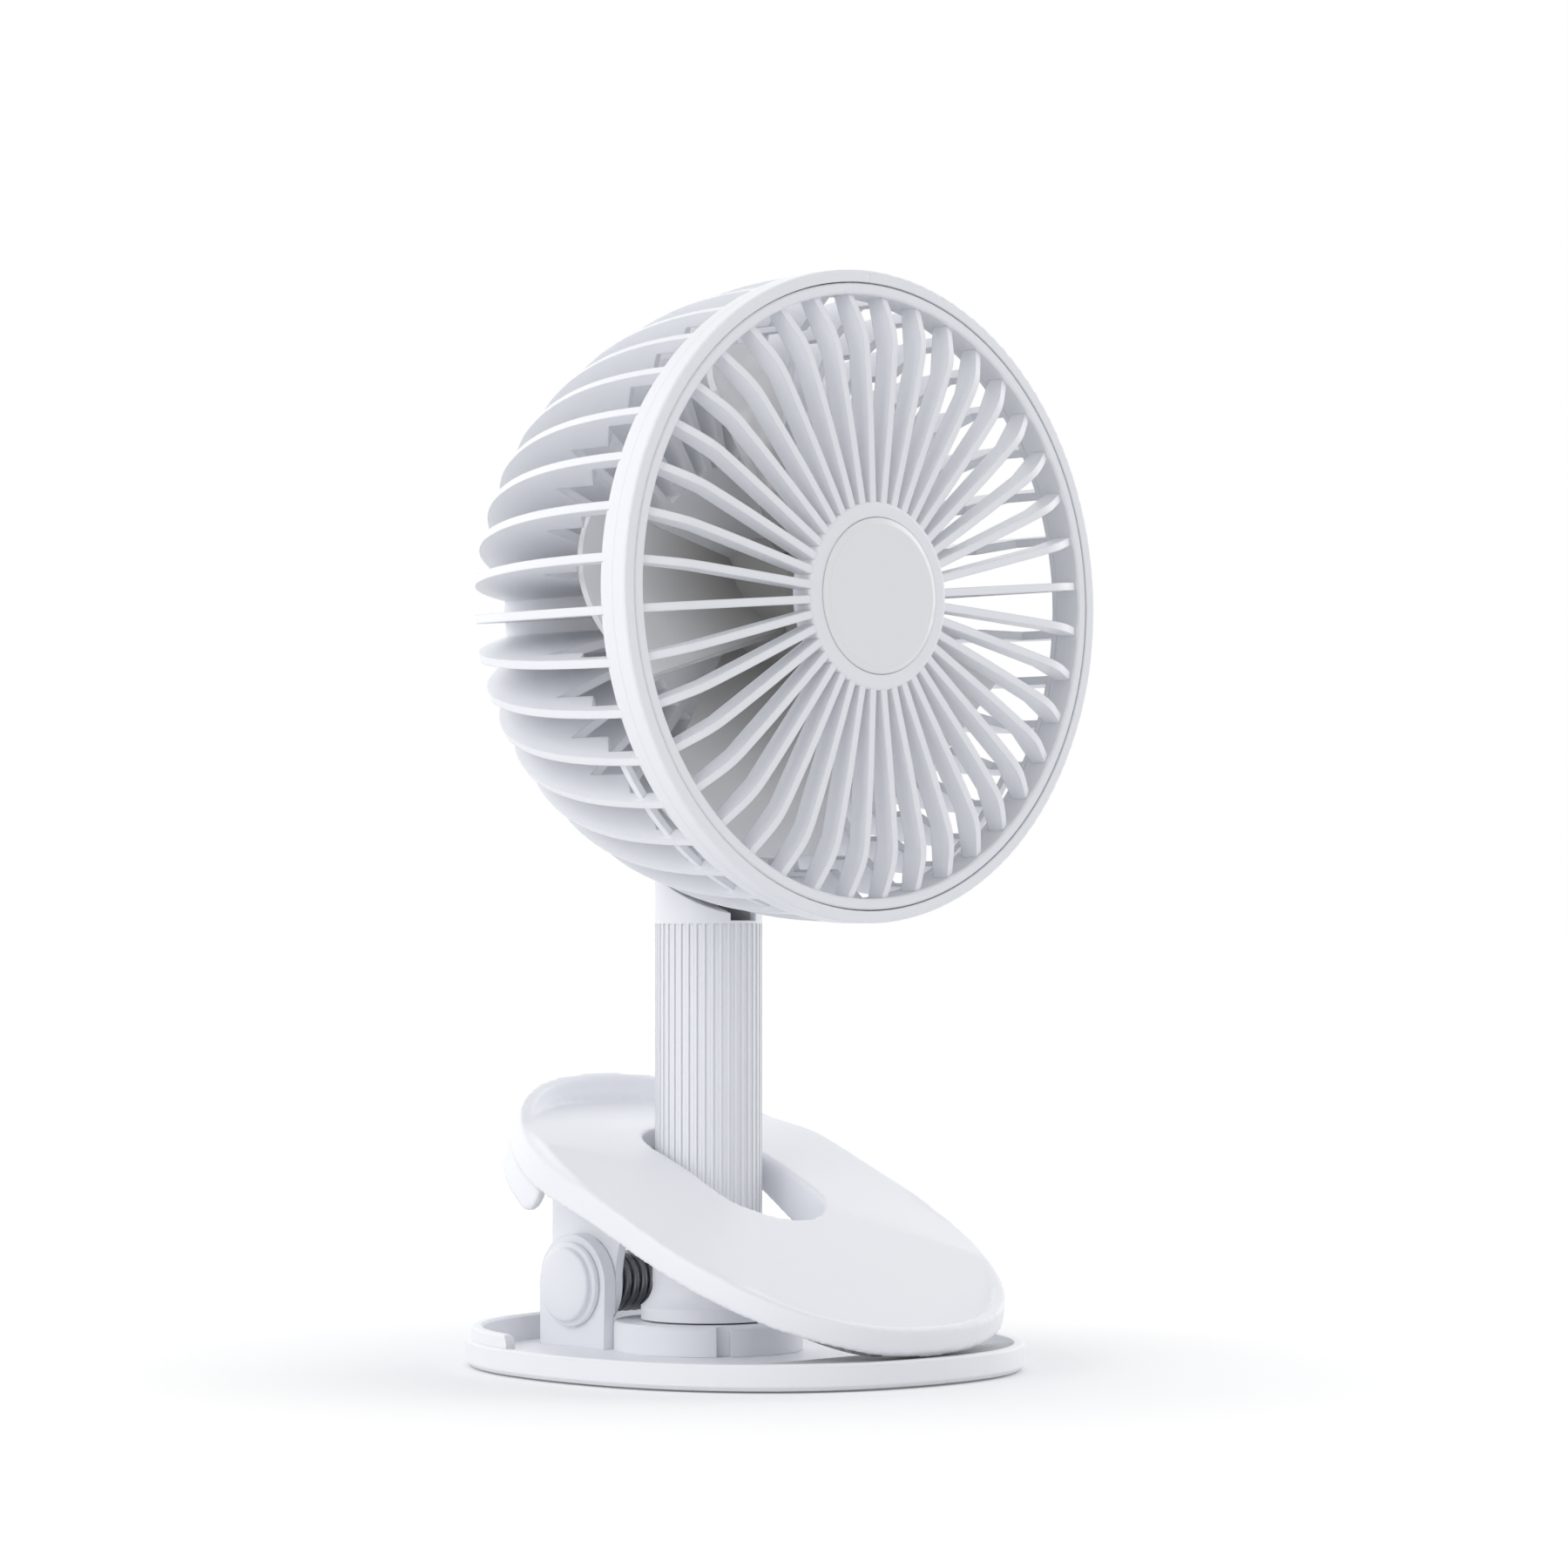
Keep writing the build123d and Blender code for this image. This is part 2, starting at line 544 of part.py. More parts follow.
def rear_cap():
    skirt_d = dome_depth(HOUSING_R) - CAP_SKIRT
    outer, inner = crown(0), crown(CAP_WALL)
    rim = Polyline(inner @ 0, (CAP_R - CAP_WALL, skirt_d), (CAP_R, skirt_d), outer @ 0)
    cap = revolve_profile([outer, Line(outer @ 1, inner @ 1), inner] + rim.edges())
    cap -= disc(BUTTON_R + SEAT_GAP, 0, DOME_DEPTH + 5)
    cap -= disc(BUTTON_FLANGE_R + SEAT_GAP, 0, DOME_DEPTH - CAP_WALL)
    cap -= Pos(0, USB_DROP, DOME_DEPTH) * Box(USB_W + 0.5, USB_H + 0.5, 20)
    cap -= Pos(0, -LIGHT_RISE, DOME_DEPTH) * Cylinder(LIGHT_R + SNUG, 20)
    post_top = DOME_DEPTH - crown_drop(CAP_SCREW_PCD / 2 + CAP_POST_R) - SNUG
    posts = Pos(CAP_SCREW_PCD / 2, 0, 0) * disc(CAP_POST_R, cap_seat_d() - CAP_POST_LEN, post_top)
    cap = cap.fuse(*around(posts, 3, 90))
    wells = Pos(CAP_SCREW_PCD / 2, 0, 0) * (disc(1.4, 0, 90) + disc(2.4, cap_seat_d(), 90))
    return HEAD * cap.cut(*around(wells, 3, 90))


def cap_seat_d():
    """Depth of the seats under the heads of the cap's screws."""
    return DOME_DEPTH - CAP_SEAT_DROP


def cap_screws():
    one = Pos(CAP_SCREW_PCD / 2, 0, cap_seat_d() + 1.3 + TINY) * Rot(180, 0, 0) * screw(2.1, 1.3, 0.98, 8.0)
    return [HEAD * s for s in around(one, 3, 90)]


def power_button():
    """Round push button that travels along the head's axis."""
    button = disc(BUTTON_R, BUTTON_FLANGE_D, DOME_DEPTH + BUTTON_PROUD)
    button = chamfer(button.edges().filter_by(GeomType.CIRCLE).group_by(Axis.Z)[-1], 0.5)
    button += disc(BUTTON_FLANGE_R, BUTTON_FLANGE_D, BUTTON_FLANGE_D + BUTTON_FLANGE)
    button += disc(1.6, BUTTON_FLANGE_D - BUTTON_STEM, BUTTON_FLANGE_D + TINY)
    return HEAD * button


def control_board():
    board = disc(BOARD_R, BOARD_D, BOARD_D + BOARD_T)
    for hole in around(Pos(CAP_SCREW_PCD / 2, 0, BOARD_D) * Cylinder(2.9, 10), 3, 90):
        board -= hole
    parts = block(-14, -6, -6, 2, BOARD_D + BOARD_T - TINY, BOARD_D + BOARD_T + 2.4)
    parts += block(7, 14, -9, -2, BOARD_D + BOARD_T - TINY, BOARD_D + BOARD_T + 1.6)
    return HEAD * (board + parts)


def tact_switch():
    low = BOARD_D + BOARD_T + TINY
    base = block(-3, 3, -3, 3, low, low + 3.4)
    return HEAD * (base + disc(1.75, low + 3.3, BOARD_D + BOARD_T + SWITCH_H))


def usb_socket():
    low = BOARD_D + BOARD_T + TINY
    high = DOME_DEPTH - 1.6
    shell = Pos(0, USB_DROP, 0) * extrude(Pos(0, 0, low) * SlotOverall(USB_W, USB_H), high - low)
    mouth = Pos(0, USB_DROP, 0) * extrude(Pos(0, 0, high - 5.5) * SlotOverall(USB_W - 0.6, USB_H - 0.6), 10)
    blade_in = block(-3.2, 3.2, USB_DROP - 0.35, USB_DROP + 0.35, high - 5.6, high - 0.8)
    return HEAD * (shell - mouth + blade_in)


def charge_light():
    return HEAD * (Pos(0, -LIGHT_RISE, 0) * disc(LIGHT_R, BOARD_D + BOARD_T + SEAT_GAP, DOME_DEPTH - 0.5))


# ---- column ------------------------------------------------------------------------------
def drum(gap):
    """The head's outline grown by a gap, as one closed solid of revolution."""
    knots = dome_knots([BAND_DEPTH, 42.0, 66.0], gap + FIN_STEP)
    start, end = knots[0][0], knots[-1][0]
    rest = Polyline(end, (0, end[1]), (0, -1), (start[0], -1), start)
    return HEAD * revolve_profile(arcs_through(knots) + rest.edges())


def saddle_cut(shape):
    """Cut away what the drum sweeps over the whole tilt range."""
    solid = drum(SADDLE_GAP)
    for angle in (0, TILT_DOWN, -TILT_UP * 0.3, -TILT_UP * 0.65, -TILT_UP):
        shape -= solid.rotate(TILT_AXIS, angle)
    return shape


def column_tube():
    """Fluted tube that stands on the flared foot; its smooth neck follows the drum and is slotted for the tongue."""
    high = AXIS_Z - RIM_R + 16
    tube = ring(COLUMN_R, COLUMN_BORE_R, SLEEVE_TOP_Z, high)
    tube -= disc(LAP_R + SNUG, 0, SLEEVE_TOP_Z + LAP_LEN + SNUG)
    low, top = SLEEVE_TOP_Z + 1.5, TILT_Z + FLUTE_END
    flute = block(COLUMN_R - FLUTE_DEPTH, COLUMN_R + 9, -FLUTE_W / 2, FLUTE_W / 2, low, top)
    tube = tube.cut(*around(flute, FLUTE_COUNT, 2.0))
    tube = saddle_cut(tube)
    tube -= block(-NECK_SLOT_W / 2, NECK_SLOT_W / 2, -COLUMN_R - 1, 0, TILT_Z + NECK_SLOT_FLOOR, high + 1)
    tube -= block(-NECK_SLOT_W / 2, NECK_SLOT_W / 2, 0, COLUMN_R + 1, TILT_Z - 3, high + 1)
    return tube.solids().sort_by(SortBy.VOLUME)[-1]


def neck_yoke():
    """Plug in the top of the tube: two cheeks that hold the tilt pin."""
    plug = saddle_cut(disc(YOKE_R, YOKE_LOW, TILT_Z + YOKE_LEN))
    plug -= block(-NECK_SLOT_W / 2, NECK_SLOT_W / 2, -20, 20, TILT_Z - TONGUE_EYE_R - SEAT_GAP, 120)
    plug -= rod_x(TILT_PIN_R + SNUG / 2, -20, 20, TILT_Y, TILT_Z)
    return plug.solids().sort_by(SortBy.VOLUME)[-1]


def tilt_pin():
    reach = math.sqrt(YOKE_R**2 - (abs(TILT_Y) + TILT_PIN_R) ** 2)
    return rod_x(TILT_PIN_R, -reach + TINY, reach - TINY, TILT_Y, TILT_Z)


def tilt_washers():
    """Two thin friction washers between the tongue and the yoke's cheeks."""
    out = []
    for side in (-1, 1):
        x0, x1 = sorted((side * (TONGUE_T / 2 + FIT), side * (NECK_SLOT_W / 2 - TINY)))
        washer = rod_x(TONGUE_EYE_R - 0.2, x0, x1, TILT_Y, TILT_Z)
        out.append(washer - rod_x(TILT_PIN_R + SNUG, x0 - 1, x1 + 1, TILT_Y, TILT_Z))
    return out


def column_foot():
    """Flared foot whose thin upper end reaches into the tube, with the spigot that turns in the fixed seat."""
    flare = ThreePointArc((FLARE_R, FLARE_TOP_Z), FLARE_HOLLOW, (SLEEVE_R, SLEEVE_LOW_Z))
    shoulder, top = SLEEVE_TOP_Z - SNUG, SLEEVE_TOP_Z + LAP_LEN
    rest = Polyline(
        flare @ 1, (SLEEVE_R, SLEEVE_MID_Z), (COLUMN_R, shoulder), (LAP_R, shoulder), (LAP_R, top), (0, top),
        (0, FOOT_Z), (FLARE_R, FOOT_Z), flare @ 0,
    )
    foot = revolve_profile([flare] + rest.edges())
    foot -= disc(COLUMN_BORE_R, FOOT_Z + FOOT_PLUG_T, top + 1)
    foot += disc(SPIGOT_R, FLOOR_Z + SEAT_GAP + RETAINER_T + TINY, FOOT_Z + 1)
    return foot - disc(1.2, 0, FOOT_Z + FOOT_PLUG_T - 1.0)


def swivel_retainer():
    low = FLOOR_Z + SEAT_GAP
    return disc(RETAINER_R, low, low + RETAINER_T) - disc(1.7, 0, 10) - disc(3.4, 0, low + 0.9)


def retainer_screw():
    return Pos(0, 0, FLOOR_Z + SEAT_GAP + 0.9 - 0.8 - TINY) * screw(3.2, 0.8, 1.18, 6.5)


def battery_cell():
    top = CELL_LOW + CELL_LEN
    cell = disc(CELL_R, CELL_LOW, top)
    cell = chamfer(cell.edges().filter_by(GeomType.CIRCLE), 0.5)
    return cell + disc(2.8, top - TINY, top + 0.6)


def cell_pads():
    """Foam discs under and over the cell."""
    low, top = FOOT_Z + FOOT_PLUG_T + SNUG, CELL_LOW + CELL_LEN + SNUG
    return [disc(CELL_R, low, low + CELL_CAP_T), ring(CELL_R, 3.2, top, YOKE_LOW - SNUG)]


# ---- base --------------------------------------------------------------------------------
def base_oval(inset, low, high):
    return Pos(0, BASE_Y, 0) * oval_prism(BASE_RX - inset, BASE_RY - inset, BASE_POWER, low, high)


def ear_outline(radius, foot_z):
    arc = ThreePointArc((HINGE_Y + radius, HINGE_Z), (HINGE_Y, HINGE_Z + radius), (HINGE_Y - radius, HINGE_Z))
    rest = Polyline(arc @ 1, (HINGE_Y - radius + 0.3, foot_z), (HINGE_Y + radius, foot_z), arc @ 0)
    return make_face(arc + rest)


def base_plate():
    """Lower jaw: shallow tray with the hinge ears and the rear finger lip."""
    plate = base_oval(0, PAD_PROUD, RIM_TOP_Z)
    plate = chamfer(plate.edges().group_by(Axis.Z)[0], 0.8)
    plate = chamfer(plate.edges().group_by(Axis.Z)[-1], 0.4)
    plate -= base_oval(BASE_RIM_W, FLOOR_Z, 30)
    lip = base_oval(LIP_INSET, FLOOR_Z - 1, LIP_TOP_Z) - base_oval(LIP_INSET + LIP_W, 0, 30)
    lip = chamfer(lip.edges().group_by(Axis.Z)[-1], LIP_EDGE)
    side = Polyline(
        (LIP_FRONT_Y, 0), (LIP_FRONT_Y, LIP_TOP_Z), (60, LIP_TOP_Z), (60, 0), (LIP_FRONT_Y, 0)
    )
    window = make_face(side)
    window = fillet(window.vertices().group_by(Axis.X)[0].sort_by(Axis.Y)[-1:], LIP_CORNER)
    plate += lip & side_plate(window, -60, 60)
    for side in (-1, 1):
        x0, x1 = sorted((side * EAR_X, side * (EAR_X - EAR_T)))
        plate += side_plate(ear_outline(EAR_R, FLOOR_Z - 1), x0, x1)
    plate -= rod_x(HINGE_PIN_R + SNUG / 2, -40, 40, HINGE_Y, HINGE_Z)
    plate -= disc(SEAT_R + SNUG, FLOOR_Z, SEAT_TOP_Z + 1)
    plate -= base_oval(PAD_INSET - 0.1, -1, PAD_T)
    for hole in around(Pos(SEAT_SCREW_R, 0, 0) * (disc(1.4, 0, 9) + disc(2.7, 0, PAD_T + 0.8)), 3, 90):
        plate -= hole
    return plate


def foot_pad():
    return base_oval(PAD_INSET, 0, PAD_T - TINY)


def base_grip_pad():
    """Soft strip in the tray's front, where the upper jaw closes."""
    crescent = base_oval(BASE_RIM_W + 0.4, FLOOR_Z + TINY, RIM_TOP_Z - 0.2)
    return crescent & block(-60, 60, -90, -50.0, 0, 20)


def swivel_seat():
    """Fixed disc with a counterbore for the retainer and one stop notch."""
    seat = disc(SEAT_R, FLOOR_Z + TINY, SEAT_TOP_Z)
    seat = chamfer(seat.edges().filter_by(GeomType.CIRCLE).group_by(Axis.Z)[-1], 0.5)
    seat -= disc(SEAT_BORE_R, 0, 20)
    seat -= disc(RETAINER_R + SEAT_GAP, 0, FLOOR_Z + RETAINER_T + 2 * SEAT_GAP)
    seat -= Rot(0, 0, -123) * block(SEAT_R - 1.8, SEAT_R + 2, -1.4, 1.4, 0, 20)
    for hole in around(Pos(SEAT_SCREW_R, 0, 0) * disc(1.0, 0, SEAT_TOP_Z - 1.2), 3, 90):
        seat -= hole
    return seat


def seat_screws():
    one = Pos(SEAT_SCREW_R, 0, PAD_T + TINY) * screw(2.5, 0.8 - 2 * TINY, 0.98, SEAT_TOP_Z - 3.4)
    return around(one, 3, 90)


# ---- clamp hinge -------------------------------------------------------------------------
def hinge_pin():
    reach = EAR_X + 1.5
    return rod_x(HINGE_PIN_R, -reach, reach, HINGE_Y, HINGE_Z)


def hinge_caps():
    out = []
    for side in (-1, 1):
        cap = disc(HINGE_CAP_R, 0, HINGE_CAP_T)
        cap = fillet(cap.edges().filter_by(GeomType.CIRCLE).group_by(Axis.Z)[-1], 0.9)
        cap -= disc(HINGE_PIN_R + SNUG / 2, -1, 1.5 + TINY)
        flat = Pos(side * (EAR_X + TINY), HINGE_Y, HINGE_Z) * Rot(0, side * 90, 0) * cap
        out.append(flat)
    return out


def crest_outline(shift_front, shift_rear, floor):
    """Side view of the jaw under its crest, drawn in (y, z): straight, with a dip behind the column."""
    reach = JAW_RY + 6
    knots = []
    for y, z, slope in ((-reach, 0.1, 0.0), (-5, 0.4, 0.0), (27, -1.6, 0.0), (reach, 1.6, 0.12)):
        shift = shift_front + (shift_rear - shift_front) * (y + reach) / (2 * reach)
        knots.append(((y, z + shift), (1, slope)))
    rest = Polyline(knots[-1][0], (reach, floor), (-reach, floor), knots[0][0])
    return make_face(arcs_through(knots) + rest.edges())


def jaw_oval(inset, low, high):
    return oval_prism(JAW_RX - inset, JAW_RY - inset, JAW_POWER, low, high)


def jaw_skirt(inset):
    """Drafted outer body of the jaw, wider at its lower edge."""
    low, high = -APRON_DROP - 1, 4.0
    faces = []
    for z in (low, high):
        grow = -inset - z * JAW_DRAFT
        faces.append(Pos(0, 0, z) * oval(JAW_RX + grow, JAW_RY + grow, JAW_POWER))
    return loft(faces, ruled=True)


def dish():
    """Bowl between the lip and the floor: a concave wall that sweeps into the floor."""
    faces = []
    for z, inset in ((4.0, JAW_LIP_W - 0.3), (-2.0, JAW_LIP_W + 0.9), (-4.2, JAW_LIP_W + 2.2)):
        faces.append(Pos(0, 0, z) * oval(JAW_RX - inset, JAW_RY - inset, JAW_POWER))
    return loft(faces, ruled=True)


def floor_body(drop):
    """Crowned floor of the jaw, high round the column and low at both ends."""
    half = JAW_RX + 8
    knots = [((y, z - drop), (1, slope)) for y, z, slope in (
        (-60, -4.6, 0.16), (-40, -0.8, 0.16), (0, 2.2, 0.0), (32, -0.4, -0.16), (60, -6.6, -0.2),
    )]
    rest = Polyline(knots[-1][0], (60, -16), (-60, -16), knots[0][0])
    spine = extrude(Plane.YZ * make_face(arcs_through(knots) + rest.edges()), half, both=True)
    crown_r = (half**2 + JAW_CROWN**2) / (2 * JAW_CROWN)
    barrel = Pos(0, 0, 2.2 - drop - crown_r) * Rot(90, 0, 0) * Cylinder(crown_r, 140)
    return spine & barrel


def slot_prism(grow, low, high):
    length = SLOT_REAR - SLOT_FRONT + 2 * grow
    middle = (SLOT_REAR + SLOT_FRONT) / 2
    outline = Rot(0, 0, 90) * SlotOverall(length, 2 * (SLOT_RX + grow))
    return extrude(Pos(0, middle, low) * outline, high - low)


def slot_hem():
    """What lies over the lower edge of the slot's wall, which drops towards the front."""
    front = SLOT_FRONT - SLOT_WALL - 1
    corners = [(front, -SLOT_DROP_FRONT), (SLOT_LEVEL_Y, -SLOT_DROP), (60, -SLOT_DROP), (60, 20), (front, 20)]
    return side_plate(make_face(Polyline(*corners, corners[0])), -60, 60)


def bridge_posts(radius, low, high):
    post = disc(radius, low, high)
    return [Pos(side * BRIDGE_SCREW_X, BRIDGE_SCREW_Y, 0) * post for side in (-1, 1)]


def upper_jaw():
    """Dished oval lever: lip, concave wall, and crowned floor with a long opening."""
    under_crest = side_plate(crest_outline(0, 0, -16), -60, 60)
    over_hem = side_plate(crest_outline(-JAW_H_FRONT, -JAW_H_REAR, -16), -60, 60)
    skirt = (jaw_skirt(0) & under_crest) - over_hem
    wall = skirt - dish() - jaw_oval(JAW_SKIN + 1.0, -16, -3.0)
    floor = (floor_body(0) - floor_body(JAW_SKIN)) & jaw_skirt(0.8)
    body = wall + floor - slot_prism(SLOT_WALL + SNUG, -20, 20)
    for post in bridge_posts(2.6, SNUG - BRIDGE_DROP, 0):
        body += post & floor_body(0.5)
    for hole in bridge_posts(0.95, -BRIDGE_DROP - 1, -5.4):
        body -= hole
    top = -JAW_H_FRONT / 2
    side = Polyline((APRON_FRONT, top), (APRON_FRONT, -APRON_DROP), (80, -APRON_DROP), (80, top), (APRON_FRONT, top))
    window = make_face(side)
    window = fillet(window.vertices().sort_by(Axis.X)[:2].sort_by(Axis.Y)[:1], APRON_CORNER)
    apron = jaw_oval(-APRON_OUT, -20, 0) - jaw_oval(JAW_SKIN - APRON_OUT, -21, 1)
    apron &= side_plate(window, -60, 60)
    return JAW * (body + apron)


def slot_liner():
    """Trim glued into the jaw's opening, along which the column passes; its lower edge drops towards the front."""
    liner = slot_prism(SLOT_WALL, -SLOT_DROP_FRONT, 20) - slot_prism(0, -20, 21)
    return JAW * (liner & floor_body(0) & slot_hem())


def jaw_frame():
    """Two cheeks that hang from the jaw to the hinge pin, joined by a plate under the jaw."""
    front, rear = HINGE_Y - CHEEK_BOSS_R, HINGE_Y + CHEEK_BOSS_R
    top = 60.0
    edges = [
        ThreePointArc((rear, HINGE_Z), (HINGE_Y, HINGE_Z - CHEEK_BOSS_R), (front, HINGE_Z)),
        ThreePointArc((front, HINGE_Z), CHEEK_CUT, CHEEK_TIP),
    ]
    edges += Polyline(CHEEK_TIP, (CHEEK_TIP[0], top), (rear, top), (rear, HINGE_Z)).edges()
    outline = make_face(edges)
    frame = side_plate(outline, CHEEK_X - CHEEK_T, CHEEK_X) + side_plate(outline, -CHEEK_X, CHEEK_T - CHEEK_X)
    inner = CHEEK_X - CHEEK_T / 2
    frame += JAW * block(-inner, inner, BRIDGE_FRONT, BRIDGE_REAR, -BRIDGE_DROP - BRIDGE_T, -BRIDGE_DROP)
    frame &= JAW * (floor_body(JAW_SKIN + SNUG) + block(-60, 60, -60, 60, -60, -10))
    frame -= JAW * slot_prism(SLOT_WALL + SNUG, -SLOT_DROP - SNUG, 20)
    frame -= rod_x(HINGE_PIN_R + FIT, -40, 40, HINGE_Y, HINGE_Z)
    for hole in bridge_posts(1.3, -20, 0):
        frame -= JAW * hole
    return frame


def jaw_screws():
    head_t = 1.2
    one = Pos(0, 0, -BRIDGE_DROP - BRIDGE_T - head_t - TINY) * screw(2.1, head_t, 0.93, BRIDGE_T + 3.4)
    return [JAW * Pos(side * BRIDGE_SCREW_X, BRIDGE_SCREW_Y, 0) * one for side in (-1, 1)]


def jaw_grip_pad():
    """Soft wedge under the jaw's front end, facing the strip in the tray."""
    shell = floor_body(JAW_SKIN + SNUG) - floor_body(JAW_SKIN + GRIP_T)
    shell &= jaw_oval(JAW_SKIN + 1.2, -16, 8) & block(-60, 60, -60, GRIP_REAR, -20, 20)
    return JAW * shell & block(-60, 60, -90, 0, RIM_TOP_Z + SEAT_GAP, 60)


def coil_point(angle, x, radius=COIL_R):
    a = math.radians(angle)
    return Vector(x, HINGE_Y + radius * math.cos(a), HINGE_Z + radius * math.sin(a))


def spring_path():
    """Straight leg, coil round the pin, straight leg: the low leg on the tray, the high one under the bridge."""
    sweep = LEG_LOW - LEG_HIGH + 360 * 9
    slope = COIL_LEN / (COIL_R * math.radians(sweep))
    knots = []
    for i in range(COIL_ARCS + 1):
        share = i / COIL_ARCS
        angle = LEG_LOW - sweep * share
        a = math.radians(angle)
        knots.append((tuple(coil_point(angle, COIL_LEN * (share - 0.5))), (slope, math.sin(a), -math.cos(a))))
    start, end = Vector(*knots[0][0]), Vector(*knots[-1][0])
    low_dir = Vector(*knots[0][1]).normalized() * -1
    high_dir = Vector(*knots[-1][1]).normalized()
    low_len = (start.Z - FLOOR_Z - WIRE_R - SEAT_GAP / 2) / -low_dir.Z
    normal = Vector(0, -math.sin(math.radians(JAW_TILT)), math.cos(math.radians(JAW_TILT)))
    gap = BRIDGE_DROP + BRIDGE_T + WIRE_R + SEAT_GAP / 2
    plane_point = Vector(0, JAW_Y, JAW_Z) - normal * gap
    high_len = (plane_point - end).dot(normal) / high_dir.dot(normal)
    path = [Line(start + low_dir * low_len, start)] + arcs_through(knots) + [Line(end, end + high_dir * high_len)]
    return path


def torsion_spring():
    path = spring_path()
    print(f"torsion spring: least gap to itself {least_gap(path, WIRE_R):.2f} mm")
    section = Plane(origin=path[0] @ 0, z_dir=path[0] % 0) * RegularPolygon(WIRE_R, WIRE_SIDES)
    return sweep(section, path=Wire(path))


def least_gap(path, radius):
    """Least clear distance between two stretches of a tube that are not neighbours on it."""
    points = [edge @ (i / 8) for edge in path for i in range(8)]
    apart = 14 * radius
    run = [0.0]
    for a, b in zip(points, points[1:]):
        run.append(run[-1] + (b - a).length)
    least = 1e9
    for i, a in enumerate(points):
        for j in range(i + 1, len(points)):
            if run[j] - run[i] > apart:
                least = min(least, (points[j] - a).length)
    return least - 2 * radius


# ---- run ---------------------------------------------------------------------------------
if __name__ == "__main__":
    os.makedirs("parts", exist_ok=True)
    save(rear_cage(), "rear_cage")
    save(front_grille(), "front_grille")
    save(hub_medallion(), "hub_medallion")
    save(impeller(), "impeller")
    save(motor_shaft(), "motor_shaft")
    save(motor_rotor(), "motor_rotor")
    save(motor_case(), "motor_case")
    save(motor_bushes(), "motor_bushes")
    save(motor_screws(), "motor_screws")
    save(rear_cap(), "rear_cap")
    save(cap_screws(), "cap_screws")
    save(power_button(), "power_button")
    save(control_board(), "control_board")
    save(tact_switch(), "tact_switch")
    save(usb_socket(), "usb_socket")
    save(charge_light(), "charge_light")
    save(column_tube(), "column_tube")
    save(neck_yoke(), "neck_yoke")
    save(tilt_pin(), "tilt_pin")
    save(tilt_washers(), "tilt_washers")
    save(column_foot(), "column_foot")
    save(swivel_retainer(), "swivel_retainer")
    save(retainer_screw(), "retainer_screw")
    save(battery_cell(), "battery_cell")
    save(cell_pads(), "cell_pads")
    save(base_plate(), "base_plate")
    save(foot_pad(), "foot_pad")
    save(base_grip_pad(), "base_grip_pad")
    save(swivel_seat(), "swivel_seat")
    save(seat_screws(), "seat_screws")
    save(hinge_pin(), "hinge_pin")
    save(hinge_caps(), "hinge_caps")
    save(upper_jaw(), "upper_jaw")
    save(slot_liner(), "slot_liner")
    save(jaw_frame(), "jaw_frame")
    save(jaw_screws(), "jaw_screws")
    save(jaw_grip_pad(), "jaw_grip_pad")
    save(torsion_spring(), "torsion_spring")
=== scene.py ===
# %% [markdown]
# # A small clip fan, dressed in Blender
#
# The fan's working parts come from a CAD model: a round head with forty spokes in front and forty fins
# behind, a fluted column, a spring clamp and a tray-shaped foot. This lesson puts that model in front
# of a camera, gives each part the finish that its real material has, and models the soft and wound
# pieces that CAD leaves plain. Each step starts with a few words on what the real thing is and why it
# is made this way.

# %% Load the frame
import math

import bpy
from mathutils import Matrix, Vector


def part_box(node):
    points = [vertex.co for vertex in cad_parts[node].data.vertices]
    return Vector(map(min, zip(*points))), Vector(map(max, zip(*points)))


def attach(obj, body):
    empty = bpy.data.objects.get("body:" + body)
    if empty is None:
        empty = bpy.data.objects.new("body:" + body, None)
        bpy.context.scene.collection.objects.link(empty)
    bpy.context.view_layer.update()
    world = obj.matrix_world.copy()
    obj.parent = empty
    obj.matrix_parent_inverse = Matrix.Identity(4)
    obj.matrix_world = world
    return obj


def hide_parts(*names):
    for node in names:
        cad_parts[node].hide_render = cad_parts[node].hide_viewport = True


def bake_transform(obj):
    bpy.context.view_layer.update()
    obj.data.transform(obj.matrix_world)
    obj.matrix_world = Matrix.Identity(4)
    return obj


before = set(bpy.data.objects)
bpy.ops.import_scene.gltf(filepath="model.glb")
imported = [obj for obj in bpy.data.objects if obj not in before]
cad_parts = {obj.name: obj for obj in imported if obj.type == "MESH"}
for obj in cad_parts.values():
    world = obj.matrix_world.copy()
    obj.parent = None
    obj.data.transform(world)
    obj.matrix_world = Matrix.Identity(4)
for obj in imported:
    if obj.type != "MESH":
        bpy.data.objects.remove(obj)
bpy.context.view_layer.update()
print("nodes:", len(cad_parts))

# %% [markdown]
# ## The camera
#
# A product photograph is usually taken from a few steps away with a long lens, which keeps circles
# round and verticals straight. Here the camera stands 99 cm from the column, to the fan's left, and
# looks up very slightly, so that the tray is seen almost edge-on. A lens of 113 mm on a 36 mm sensor
# gives the same gentle perspective as the photograph.

# %% Camera
CAMERA_PLACE = Vector((-0.6623, -0.7299, 0.0919))
CAMERA_AZIMUTH = math.radians(43.10)
CAMERA_RISE = math.radians(1.40)

